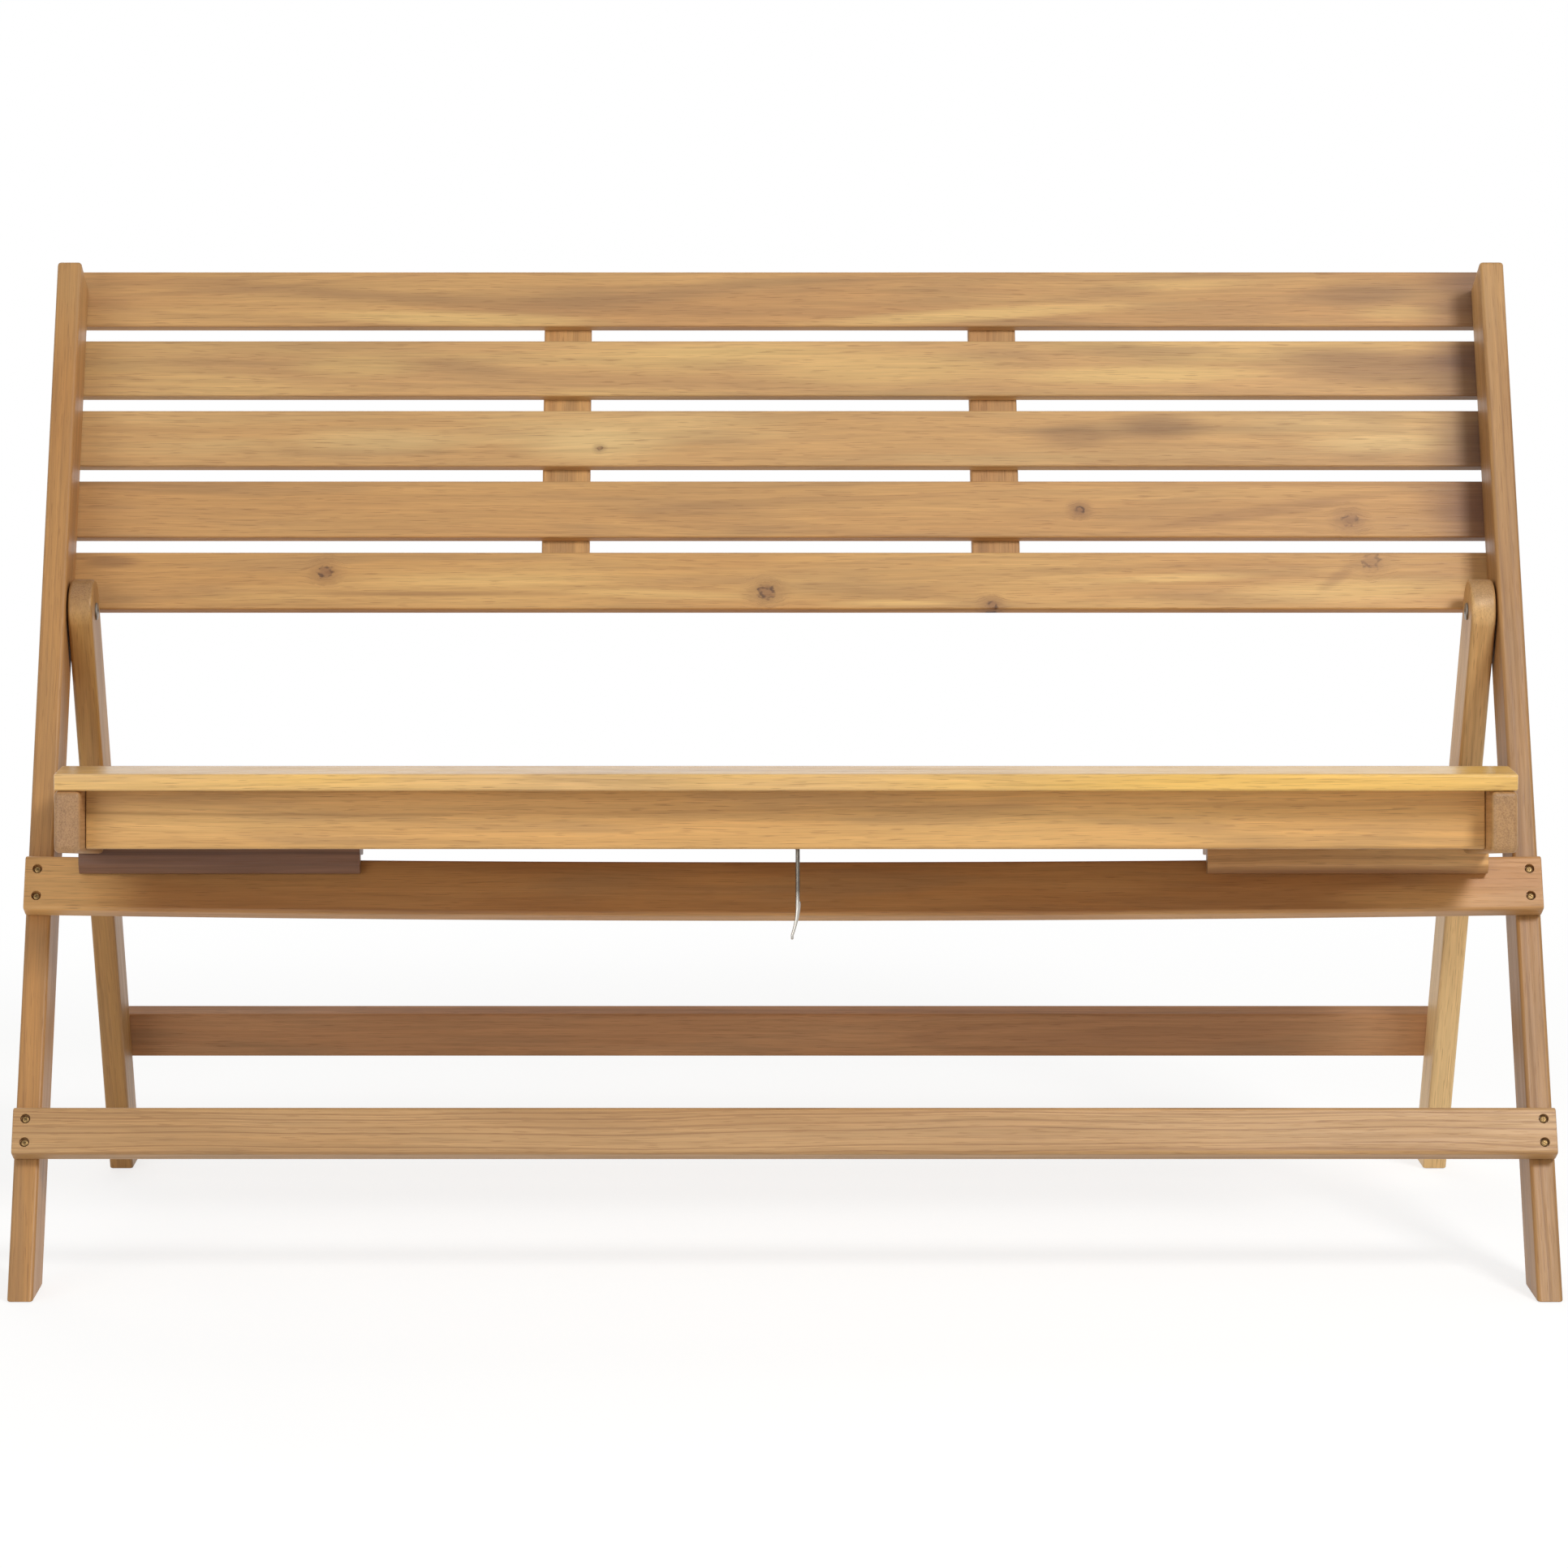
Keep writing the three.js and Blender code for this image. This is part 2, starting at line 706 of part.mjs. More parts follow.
// The bent wire: an open loop round the eye, a straight shank and a tip that leaves it sideways
class HookCurve extends THREE.Curve {
  getPoint(share, target = new THREE.Vector3()) {
    const loopEnd = hookLoopSteps / (hookLoopSteps + hookShankSteps);
    const middle = -(hookLoopPlay() - hookGap);
    if (share < loopEnd) {
      const open = THREE.MathUtils.degToRad(hookLoopOpenDegrees);
      const turn = -Math.PI / 2 + open + (2 * Math.PI - open) * (share / loopEnd);
      const x = Math.cos(turn) * hookLoopRadius;
      return target.set(x, 0, middle + Math.sin(turn) * hookLoopRadius);
    }
    const down = ((share - loopEnd) / (1 - loopEnd)) * (hookReach - hookLoopRadius);
    const tip = Math.max(0, down + hookTipLength + hookLoopRadius - hookReach) / hookTipLength;
    const bend = tip * tip;
    return target.set(
      hookTipSideLength * bend,
      hookTipBackLength * Math.sin(tip * Math.PI),
      middle - hookLoopRadius - down,
    );
  }
}

// The room that the hook's loop leaves round the eye's wire
function hookLoopPlay() {
  return hookLoopRadius - hookWireRadius - eyeWireRadius;
}

function lockHook() {
  const section = new THREE.Shape();
  section.absarc(0, 0, hookWireRadius, 0, 2 * Math.PI, false);
  const geometry = new THREE.ExtrudeGeometry(section, {
    steps: hookLoopSteps + hookShankSteps,
    curveSegments: hookSides / 2,
    extrudePath: new HookCurve(),
    bevelEnabled: false,
  });
  geometry.translate(hookSideOffset, hookPlane, eyeHeight());
  return piece('lock_hook', geometry, zinc);
}

function seat() {
  const frame = new THREE.Group();
  frame.position.set(0, seatPivot.x, seatPivot.y);
  frame.rotation.x = -seatSlope;
  for (const [sideName, side] of sidePairs) {
    frame.add(seatRail(`seat_rail_${sideName}`, side));
    frame.add(seatCleat(`seat_cleat_${sideName}`, side));
    frame.add(seatBatten(`seat_batten_${sideName}`, side));
    const inner = [seatInnerX, seatOuterX];
    frame.add(...pivotSet('seat_pivot', sideName, side, inner, [legInnerX, legOuterX]));
  }
  frame.add(apron());
  for (let index = 0; index < seatSlatCount; index += 1) {
    frame.add(seatSlat(index));
  }
  frame.add(lockEye());
  frame.add(lockHook());
  return frame;
}

// The bench stands on Z = 0, centred in plan
const stand = new THREE.Group();
stand.add(postFrame(), rearLegFrame(), seat());
stand.updateMatrixWorld(true);
const extent = new THREE.Box3().setFromObject(stand, true);
stand.position.set(0, -(extent.min.y + extent.max.y) / 2, -extent.min.z);

const bench = new THREE.Group();
bench.add(stand);

export default bench;
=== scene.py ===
"""Folding bench in oiled acacia: the finished pieces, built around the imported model."""

import json
import logging
import math
from collections.abc import Callable, Iterable, Sequence
from dataclasses import dataclass, field
from enum import Enum

import bmesh
import bpy
from mathutils import Matrix, Vector


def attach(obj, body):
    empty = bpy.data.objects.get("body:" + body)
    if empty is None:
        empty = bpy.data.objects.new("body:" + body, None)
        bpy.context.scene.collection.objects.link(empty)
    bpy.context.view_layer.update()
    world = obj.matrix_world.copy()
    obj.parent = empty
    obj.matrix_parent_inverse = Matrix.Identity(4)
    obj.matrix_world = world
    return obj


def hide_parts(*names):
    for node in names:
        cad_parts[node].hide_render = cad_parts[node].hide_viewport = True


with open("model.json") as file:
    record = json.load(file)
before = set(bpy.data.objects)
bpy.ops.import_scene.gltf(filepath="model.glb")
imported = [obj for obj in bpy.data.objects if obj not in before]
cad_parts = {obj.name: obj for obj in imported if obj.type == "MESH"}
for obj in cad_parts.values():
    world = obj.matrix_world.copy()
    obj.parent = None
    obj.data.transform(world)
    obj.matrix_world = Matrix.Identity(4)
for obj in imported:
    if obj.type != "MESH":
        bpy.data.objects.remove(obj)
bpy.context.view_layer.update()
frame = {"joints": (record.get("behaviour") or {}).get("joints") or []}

log = logging.getLogger("folding_bench")

# Sizes are in millimetres, as a maker writes them, and meshes and places are in metres
MM = 0.001

Point = tuple[float, float]
Point3 = tuple[float, float, float]
Piece, Mesh = bpy.types.Object, bmesh.types.BMesh
Tree, Socket, Material = bpy.types.NodeTree, bpy.types.NodeSocket, bpy.types.Material


class Slot(Enum):
    """The record's material slots."""

    ACACIA = "acacia"
    PALE = "acacia_pale"
    DARK = "acacia_dark"
    ZINC = "zinc_plated_steel"
    BRASS = "brassed_steel"


class Body(Enum):
    """The bodies that move on their own."""

    POSTS = "post_frame"
    LEGS = "rear_leg_frame"
    SEAT = "seat"
    HOOK = "lock_hook"


class Lie(Enum):
    """How a blank lies in its sub-assembly: where its length and its width point (x, back, up)."""

    RAIL = ((1, 0, 0), (0, 0, 1))
    UPRIGHT = ((0, 0, 1), (0, 1, 0))
    FORE_AND_AFT = ((0, 1, 0), (0, 0, 1))
    FLAT = ((1, 0, 0), (0, 1, 0))
    BATTEN = ((0, 0, 1), (1, 0, 0))

    def turn(self) -> Matrix:
        """Turns a blank's own axes (length, width, thickness) to the sub-assembly's."""
        length, width = Vector(self.value[0]), Vector(self.value[1])
        return Matrix((length, width, length.cross(width))).transposed().to_4x4()


# Left and right as in the photo, and the way each is along X
SIDES = (("left", -1), ("right", 1))


# Colours and shader nodes


def linear(hex_code: str) -> tuple[float, float, float, float]:
    """Turns an sRGB hex colour to linear.

    Args:
        hex_code: six hex digits after a hash.

    Returns:
        Red, green, blue and an alpha of one.
    """
    parts = [int(hex_code[i:i + 2], 16) / 255 for i in (1, 3, 5)]
    # The sRGB curve: a straight part near black and a power above it
    red, green, blue = (c / 12.92 if c <= 0.04045 else ((c + 0.055) / 1.055) ** 2.4
                        for c in parts)
    return (red, green, blue, 1.0)


# A colour mix takes its two colours on these inputs and gives the mixed one on this output
BELOW, ABOVE, MIXED = 6, 7, 2
# The output of a vector step that gives a number, such as a length
NUMBER = 1


def add_node(tree: Tree, kind: str, inputs: dict | None = None, output: str | int = 0,
             **settings: object) -> Socket:
    """Adds a shader node with its settings and links.

    Args:
        tree: the material's or world's node tree.
        kind: the node's type.
        inputs: sockets or plain values, by input name or number.
        output: which of its outputs is wanted.
        settings: the node's own properties.

    Returns:
        The wanted output socket.
    """
    node = tree.nodes.new(kind)
    for name, value in settings.items():
        setattr(node, name, value)
    for key, value in (inputs or {}).items():
        if isinstance(value, Socket):
            tree.links.new(value, node.inputs[key])
        else:
            node.inputs[key].default_value = value
    return node.outputs[output] if len(node.outputs) else node.inputs[0]


def new_material(name: str) -> tuple[Material, Tree]:
    """Makes an empty node material.

    Args:
        name: the material's name.

    Returns:
        The material and its node tree.
    """
    material = bpy.data.materials.new(name)
    material.use_nodes = True
    material.node_tree.nodes.clear()
    return material, material.node_tree


# Meshes


@dataclass(frozen=True)
class Corner:
    """A corner of an outline: along its length, across it, and how far its easing reaches."""

    along: float
    across: float
    ease: float = 0.0


def eased_outline(corners: Sequence[Corner], steps: int = 8) -> list[Point]:
    """Rounds each corner of an outline by its own reach.

    Args:
        corners: the outline's corners in order.
        steps: straight steps in each rounded corner.

    Returns:
        The outline's points.
    """
    points: list[Point] = []
    count = len(corners)
    for index, corner in enumerate(corners):
        here = Vector((corner.along, corner.across))
        if corner.ease <= 0:
            points.append((here.x, here.y))
            continue
        before, after = corners[index - 1], corners[(index + 1) % count]
        back = here + (Vector((before.along, before.across)) - here).normalized() * corner.ease
        on = here + (Vector((after.along, after.across)) - here).normalized() * corner.ease
        for step in range(steps + 1):
            share = step / steps
            spot = back.lerp(here, share).lerp(here.lerp(on, share), share)
            points.append((spot.x, spot.y))
    return points


def prism(points: Sequence[Point], thickness: float) -> Mesh:
    """Pushes an outline out to both sides of its plane.

    Args:
        points: the outline, in length and width.
        thickness: the whole thickness.

    Returns:
        A closed mesh, in millimetres.
    """
    shape = bmesh.new()
    rings = [[shape.verts.new((x, y, z)) for x, y in points]
             for z in (-thickness / 2, thickness / 2)]
    shape.faces.new(reversed(rings[0]))
    shape.faces.new(rings[1])
    for index in range(len(points)):
        turn = (index + 1) % len(points)
        shape.faces.new((rings[0][index], rings[0][turn], rings[1][turn], rings[1][index]))
    bmesh.ops.recalc_face_normals(shape, faces=shape.faces)
    return shape


# Faces that meet at more than this angle meet in an edge, and shade apart
SHARP = math.radians(32)
# Corners closer than this many millimetres are one
SAME_SPOT = 1e-5


def ease_edges(shape: Mesh, radius: float, steps: int,
               wanted: Callable[[bmesh.types.BMEdge], bool]) -> None:
    """Rounds the sharp edges that are wanted.

    Args:
        shape: the mesh to change.
        radius: the rounding's radius in millimetres.
        steps: straight steps in the rounding.
        wanted: says whether an edge is rounded.
    """
    edges = [e for e in shape.edges
             if len(e.link_faces) == 2 and e.calc_face_angle() > SHARP and wanted(e)]
    if edges and radius > 0:
        bmesh.ops.bevel(shape, geom=edges, offset=radius, offset_type="OFFSET", segments=steps,
                        profile=0.5, affect="EDGES", clamp_overlap=True)


def turned(profile: Sequence[Point], sides: int) -> Mesh:
    """Turns a profile about its axis.

    Args:
        profile: radius and height pairs, with a radius of zero at a closed end.
        sides: flats round the axis.

    Returns:
        A mesh whose axis is +Z, in millimetres.
    """
    shape = bmesh.new()
    rings = []
    for radius, height in profile:
        if radius == 0:
            rings.append([shape.verts.new((0, 0, height))])
            continue
        angles = [2 * math.pi * i / sides for i in range(sides)]
        rings.append([shape.verts.new((radius * math.cos(a), radius * math.sin(a), height))
                      for a in angles])
    for lower, upper in zip(rings, rings[1:]):
        join_rings(shape, lower, upper)
    bmesh.ops.recalc_face_normals(shape, faces=shape.faces)
    return shape


def join_rings(shape: Mesh, lower: list, upper: list) -> None:
    """Joins two rings of vertices, either of which may be a single point.

    Args:
        shape: the mesh that gets the faces.
        lower: one ring's vertices.
        upper: the next ring's.
    """
    count = max(len(lower), len(upper))
    for index in range(count):
        turn = (index + 1) % count
        corners = [lower[index % len(lower)], lower[turn % len(lower)],
                   upper[turn % len(upper)], upper[index % len(upper)]]
        unique = list(dict.fromkeys(corners))
        if len(unique) > 2:
            shape.faces.new(unique)


def swept(path: Sequence[Vector], radii: Sequence[float], sides: int, closed: bool = False) -> Mesh:
    """Draws a round wire along a path.

    Args:
        path: the wire's middle line.
        radii: its radius at each point.
        sides: flats round the wire.
        closed: whether the wire's end meets its start.

    Returns:
        A closed mesh, in millimetres.
    """
    shape = bmesh.new()
    count = len(path)
    side = Vector((0, 1, 0))
    rings = []
    for index, spot in enumerate(path):
        ahead = path[(index + 1) % count] if closed or index + 1 < count else spot
        behind = path[index - 1] if closed or index > 0 else spot
        run = (ahead - behind).normalized()
        side = (side - run * side.dot(run)).normalized()
        other = run.cross(side)
        ring = []
        for step in range(sides):
            angle = 2 * math.pi * step / sides
            arm = side * math.cos(angle) + other * math.sin(angle)
            ring.append(shape.verts.new(spot + arm * radii[index]))
        rings.append(ring)
    for lower, upper in zip(rings, rings[1:]):
        join_rings(shape, lower, upper)
    if closed:
        join_rings(shape, rings[-1], rings[0])
    else:
        shape.faces.new(reversed(rings[0]))
        shape.faces.new(rings[-1])
    bmesh.ops.recalc_face_normals(shape, faces=shape.faces)
    return shape


def to_object(name: str, shape: Mesh, place: Matrix) -> Piece:
    """Makes a scene object of a mesh in millimetres.

    Args:
        name: the piece's name.
        shape: the mesh, which is freed.
        place: where its own axes lie, in metres.

    Returns:
        The new object at the origin, its place in its mesh, smooth with its sharp edges kept.
    """
    shape.transform(place @ Matrix.Scale(MM, 4))
    mesh = bpy.data.meshes.new(name)
    shape.to_mesh(mesh)
    shape.free()
    mesh.shade_smooth()
    mesh.set_sharp_from_angle(angle=SHARP)
    piece = bpy.data.objects.new(name, mesh)
    bpy.context.scene.collection.objects.link(piece)
    return piece


@dataclass(frozen=True)
class Bore:
    """A hole in a sub-assembly's own axes, from start to end along one of them.

    It is round, or has as many flats as it has sides.
    """

    at: Point3
    axis: str
    radius: float
    start: float
    end: float
    sides: int = 40

    def cutter(self) -> Mesh:
        """Makes the hole as a solid.

        Returns:
            A closed mesh, in millimetres.
        """
        depth = self.end - self.start
        shape = turned([(0, 0), (self.radius, 0), (self.radius, depth), (0, depth)], self.sides)
        turn = {"X": Matrix.Rotation(math.pi / 2, 4, "Y"),
                "Y": Matrix.Rotation(-math.pi / 2, 4, "X"),
                "Z": Matrix.Identity(4)}[self.axis]
        shift = Vector(self.at)
        shift["XYZ".index(self.axis)] = self.start
        shape.transform(Matrix.Translation(shift) @ turn)
        return shape


@dataclass(frozen=True)
class Notch:
    """A square-cornered cut in a sub-assembly's own axes: its lowest and highest corners."""

    low: Point3
    high: Point3

    def cutter(self) -> Mesh:
        """Makes the cut as a solid.

        Returns:
            A closed mesh, in millimetres.
        """
        shape = bmesh.new()
        low, high = Vector(self.low), Vector(self.high)
        size = high - low
        place = Matrix.Translation((low + high) / 2) @ Matrix.Diagonal((*size, 1))
        bmesh.ops.create_cube(shape, size=1, matrix=place)
        return shape


def cut_out(piece: Piece, cuts: Iterable[Bore | Notch], place: Matrix) -> None:
    """Takes holes and notches out of a piece, one after the other.

    Args:
        piece: the object to cut.
        cuts: what is cut, in the sub-assembly's axes.
        place: the sub-assembly's place, in metres.
    """
    tools = [to_object("cutter", cut.cutter(), place) for cut in cuts]
    for tool in tools:
        step = piece.modifiers.new("cut", "BOOLEAN")
        step.operation = "DIFFERENCE"
        step.solver = "EXACT"
        step.object = tool
    apply_modifiers(piece)
    for tool in tools:
        bpy.data.objects.remove(tool)


def apply_modifiers(piece: Piece) -> None:
    """Turns a piece's modifiers into its own mesh.

    Args:
        piece: the piece.
    """
    bpy.context.view_layer.update()
    graph = bpy.context.evaluated_depsgraph_get()
    mesh = bpy.data.meshes.new_from_object(piece.evaluated_get(graph))
    piece.modifiers.clear()
    piece.data = mesh
    mesh.shade_smooth()
    mesh.set_sharp_from_angle(angle=SHARP)


# How much more a wide face counts than a narrow one where two meet, of 100
WIDE_FACE_WEIGHT = 90


def steady_normals(piece: Piece) -> None:
    """Keeps a planed face flat beside its rounded arrises.

    Args:
        piece: the piece.
    """
    step = piece.modifiers.new("planed_faces", "WEIGHTED_NORMAL")
    step.keep_sharp = True
    step.weight = WIDE_FACE_WEIGHT


# Wood


@dataclass(frozen=True)
class Knot:
    """A knot in a board: its place from the middle, its radius and how strongly it shows."""

    along: float
    across: float
    radius: float
    strength: float = 1.0


@dataclass(frozen=True)
class Patch:
    """A soft-edged patch of sap tone, or of streak brown where it is dark.

    Some patches stand for the wood and some are painted light or painted shade. It has a middle,
    a half length, a half width, a strength and a tilt in degrees.
    """

    along: float
    across: float
    reach: float
    spread: float
    strength: float
    tilt: float = 0.0
    dark: bool = False


@dataclass(frozen=True)
class Grain:
    """One scale of the grain: its size along, across and through the board, and its shading.

    The size is in millimetres. The board's colour is multiplied by low to high as it runs. It
    shows from the first of two noise values and is full at the second.
    """

    size: Point3
    detail: float
    low: float = 1.0
    high: float = 1.0
    shows: Point = (0.3, 0.7)


@dataclass(frozen=True)
class KnotForm:
    """How wide a knot's parts are, in knot radii, from where each fades out to where it is full.

    The shares are the most that shows of each part's tone. The knot's edge is ragged by some
    radii, of which the settling takes back the mean. The push is how far the grain bends round it.
    """

    halo: Point = (4.2, 1.2)
    core: Point = (1.9, 0.9)
    bark_at: float = 1.3
    bark: Point = (0.42, 0.05)
    halo_share: float = 0.5
    core_share: float = 0.6
    bark_share: float = 0.8
    raggedness: float = 1.5
    settling: float = 0.3
    oval: float = 0.8
    push: float = 0.8


@dataclass(frozen=True)
class WoodSurface:
    """What every board's surface has: shares of tones, and its relief and sheen.

    The relief's shares are of its depth, which is in millimetres. A face is a sawn end from the
    first share of the grain's way on and fully one at the second. A patch's edge runs from its
    first reach to its second and is frayed by the sapwood's clouds.
    """

    band_scale: float = 0.8
    band_detail: float = 3.0
    band_roughness: float = 0.6
    band_shows: Point = (0.46, 0.74)
    patch_edge: Point = (1.55, 0.65)
    patch_fray: float = 0.9
    pore_share: float = 0.34
    sawn_end: Point = (0.55, 0.95)
    sawn_share: float = 0.5
    sheen_spread: float = 0.06
    pore_relief: float = -0.9
    bundle_relief: float = 0.8
    relief_strength: float = 0.25
    relief_depth: float = 0.2
    oil_ior: float = 1.48


# The grain wanders a few millimetres from straight over 400 mm
WANDER = Grain((400, 90, 90), 2.0)
WANDER_REACH = 14.0
# Sapwood lies in clouds as long as a third of a metre, and oil soaked in deeper in shorter ones
SAP_CLOUD = Grain((330, 34, 34), 3.0, shows=(0.4, 0.68))
OIL_CLOUD = Grain((150, 20, 20), 2.0, shows=(0.46, 0.72))
# Fibre bundles 3.5 mm wide, and hair lines near 1 mm, drawn as coarse as the render shows
BUNDLE = Grain((160, 3.5, 3.5), 3.0, 0.91, 1.08)
HAIR = Grain((55, 1.0, 1.0), 2.0, 0.92, 1.07)
# Open pores, real ones 0.2 mm wide and some millimetres long, drawn 0.7 mm wide
PORE = Grain((20, 0.7, 0.7), 0.0, shows=(0.64, 0.76))
# The cut pores of a sawn end, as dots near 1 mm
SAWN_DOT = Grain((1.1, 1.1, 1.1), 2.0, shows=(0.42, 0.62))
# A knot's edge wanders, and its bark ring is torn open
KNOT_EDGE = Grain((4.5, 3.2, 3.2), 3.0)
KNOT_TEAR = Grain((8, 6, 6), 1.0, shows=(0.36, 0.58))
KNOT_FORM = KnotForm()
WOOD = WoodSurface()
KNOT_WOOD_TONE, KNOT_BARK_TONE = "#8A6142", "#4B3022"
OIL_CLOUD_TONE = "#8D7050"
PORE_TONE = "#7C502A"
SAWN_TONE, SAWN_DOT_TONE = "#A07C58", "#74563C"


@dataclass(frozen=True)
class OiledAcacia:
    """Planed acacia under a satin oil: honey heartwood, straw sapwood and brown growth bands.

    The oil leaves a low, broad sheen. The end grain drinks more of it and turns darker.
    """

    seed: int
    heart: str
    sap: str
    streak: str
    sap_share: float
    streak_share: float
    ring: float = 5.0
    pith: Point = (8.0, -34.0)
    taper: float = 0.6
    knots: tuple[Knot, ...] = ()
    patches: tuple[Patch, ...] = ()
    roughness: float = 0.46
    bloom: float = 0.3

    def dress(self, piece: Piece, own: Matrix) -> None:
        """Gives a piece its own board of this wood.

        Args:
            piece: the piece.
            own: the piece's own axes, of which X is its length and the way of the grain.
        """
        piece.data.materials.clear()
        piece.data.materials.append(self.material(f"oiled_acacia_{piece.name}", own))

    def shift(self) -> Vector:
        """Where in the log this board was sawn, so that no two boards match."""
        return Vector((self.seed * 7.31 % 19, self.seed * 3.17 % 13, self.seed * 5.53 % 17))

    def material(self, name: str, own: Matrix) -> Material:
        """Builds the board's nodes.

        Args:
            name: the material's name.
            own: the board's own axes.

        Returns:
            The finished material.
        """
        material, tree = new_material(name)
        bench = add_node(tree, "ShaderNodeTexCoord", output="Object")
        place = add_node(tree, "ShaderNodeMapping",
                         {"Vector": bench, "Location": own.translation, "Rotation": own.to_euler()},
                         vector_type="TEXTURE")
        wander = self.noise(tree, place, WANDER, output="Color")
        reach = WANDER_REACH * MM
        bent = add_node(tree, "ShaderNodeVectorMath", {0: wander, 1: (0, reach, reach), 2: place},
                        operation="MULTIPLY_ADD")
        knots = [self.knot_masks(tree, place, knot) for knot in self.knots]
        for masks in knots:
            bent = add_node(tree, "ShaderNodeVectorMath", {0: masks[0], 1: masks[1], 2: bent},
                            operation="MULTIPLY_ADD")
        colour = self.figure(tree, place, bent)
        for _, halo, core, ring in knots:
            for mask, tone, share in ((halo, self.streak, KNOT_FORM.halo_share),
                                      (core, KNOT_WOOD_TONE, KNOT_FORM.core_share),
                                      (ring, KNOT_BARK_TONE, KNOT_FORM.bark_share)):
                colour = self.blend(tree, mask, share, colour, linear(tone))
        self.surface(tree, place, bent, colour, own.col[0].to_3d())
        return material

    def noise(self, tree: Tree, place: Socket, grain: Grain, output: str = "Fac") -> Socket:
        """Noise of a real size, at this board's place in the log.

        Args:
            tree: the material's node tree.
            place: the coordinates, in metres.
            grain: the noise's size, and how many finer octaves it has.
            output: Fac or Color.

        Returns:
            The noise.
        """
        scale = tuple(1 / (MM * size) for size in grain.size)
        scaled = add_node(tree, "ShaderNodeMapping",
                          {"Vector": place, "Location": self.shift(), "Scale": scale})
        return add_node(tree, "ShaderNodeTexNoise",
                        {"Vector": scaled, "Scale": 1.0, "Detail": grain.detail}, output)

    def mask(self, tree: Tree, value: Socket, none: float, full: float,
             share: float = 1.0) -> Socket:
        """A soft mask that is zero at one value and reaches its share at another.

        Args:
            tree: the material's node tree.
            value: what it follows.
            none: the value where it is zero.
            full: the value where it is full.
            share: how high it gets.

        Returns:
            The mask.
        """
        return add_node(tree, "ShaderNodeMapRange",
                        {"Value": value, "From Min": none, "From Max": full, "To Max": share},
                        interpolation_type="SMOOTHSTEP")

    def blend(self, tree: Tree, mask: Socket, share: float, below: Socket,
              above: Socket | Sequence[float], way: str = "MIX") -> Socket:
        """Lays one colour over another.

        Args:
            tree: the material's node tree.
            mask: where it is laid.
            share: the most of it that shows.
            below: the colour below.
            above: the colour laid on it.
            way: how the two are mixed.

        Returns:
            The mixed colour.
        """
        part = add_node(tree, "ShaderNodeMath", {0: mask, 1: share}, operation="MULTIPLY")
        return add_node(tree, "ShaderNodeMix", {0: part, BELOW: below, ABOVE: above}, MIXED,
                        data_type="RGBA", blend_type=way)

    def knot_masks(self, tree: Tree, place: Socket, knot: Knot) -> tuple[Socket, ...]:
        """Works out how a knot pushes the grain aside and where its parts show.

        Args:
            tree: the material's node tree.
            place: the board's own coordinates, in metres.
            knot: the knot.

        Returns:
            The push's direction, and the masks of its halo, its core and its bark ring.
        """
        form, radius = KNOT_FORM, knot.radius * MM
        away = add_node(tree, "ShaderNodeVectorMath",
                        {0: place, 1: (knot.along * MM, knot.across * MM, 0)},
                        operation="SUBTRACT")
        flat = add_node(tree, "ShaderNodeVectorMath", {0: away, 1: (form.oval, 1, 0)},
                        operation="MULTIPLY")
        length = add_node(tree, "ShaderNodeVectorMath", {0: flat}, NUMBER, operation="LENGTH")
        ragged = self.noise(tree, place, KNOT_EDGE)
        length = add_node(tree, "ShaderNodeMath",
                          {0: ragged, 1: radius * form.raggedness, 2: length},
                          operation="MULTIPLY_ADD")
        length = add_node(tree, "ShaderNodeMath", {0: length, 1: -radius * form.settling},
                          operation="ADD")
        halo = self.mask(tree, length, *(radius * r for r in form.halo), knot.strength)
        core = self.mask(tree, length, *(radius * r for r in form.core), knot.strength)
        off = add_node(tree, "ShaderNodeMath", {0: length, 1: -radius * form.bark_at},
                       operation="ADD")
        off = add_node(tree, "ShaderNodeMath", {0: off}, operation="ABSOLUTE")
        ring = self.mask(tree, off, *(radius * r for r in form.bark), knot.strength)
        # The bark ring is torn, so that it shows on one side of the knot more than on the other
        torn = self.mask(tree, self.noise(tree, place, KNOT_TEAR), *KNOT_TEAR.shows)
        ring = add_node(tree, "ShaderNodeMath", {0: ring, 1: torn}, operation="MULTIPLY")
        toward = add_node(tree, "ShaderNodeVectorMath", {0: away, 1: (0, -form.push, 0)},
                          operation="MULTIPLY")
        return toward, halo, core, ring

    def figure(self, tree: Tree, place: Socket, bent: Socket) -> Socket:
        """Draws sapwood, growth bands and streaks as the saw cut them from the log, then patches,
        some of which are painted light or painted shade.

        Args:
            tree: the material's node tree.
            place: the board's own coordinates.
            bent: the same, bent as the grain wanders.

        Returns:
            The colour before fibres and pores.
        """
        log_place = add_node(tree, "ShaderNodeMapping",
                             {"Vector": bent, "Rotation": (0, math.radians(self.taper), 0),
                              "Location": (0, -self.pith[0] * MM, -self.pith[1] * MM)})
        section = add_node(tree, "ShaderNodeVectorMath", {0: log_place, 1: (0, 1, 1)},
                           operation="MULTIPLY")
        radius = add_node(tree, "ShaderNodeVectorMath", {0: section}, NUMBER, operation="LENGTH")
        rings = add_node(tree, "ShaderNodeMath",
                         {0: radius, 1: 1 / (self.ring * MM), 2: float(self.seed)},
                         operation="MULTIPLY_ADD")
        band = add_node(tree, "ShaderNodeTexNoise",
                        {"W": rings, "Scale": WOOD.band_scale, "Detail": WOOD.band_detail,
                         "Roughness": WOOD.band_roughness}, noise_dimensions="1D")
        cloud = self.noise(tree, bent, SAP_CLOUD)
        colour = self.blend(tree, self.mask(tree, cloud, *SAP_CLOUD.shows), self.sap_share,
                            linear(self.heart), linear(self.sap))
        colour = self.blend(tree, self.mask(tree, band, *WOOD.band_shows), self.streak_share,
                            colour, linear(self.streak))
        haze = self.noise(tree, bent, OIL_CLOUD)
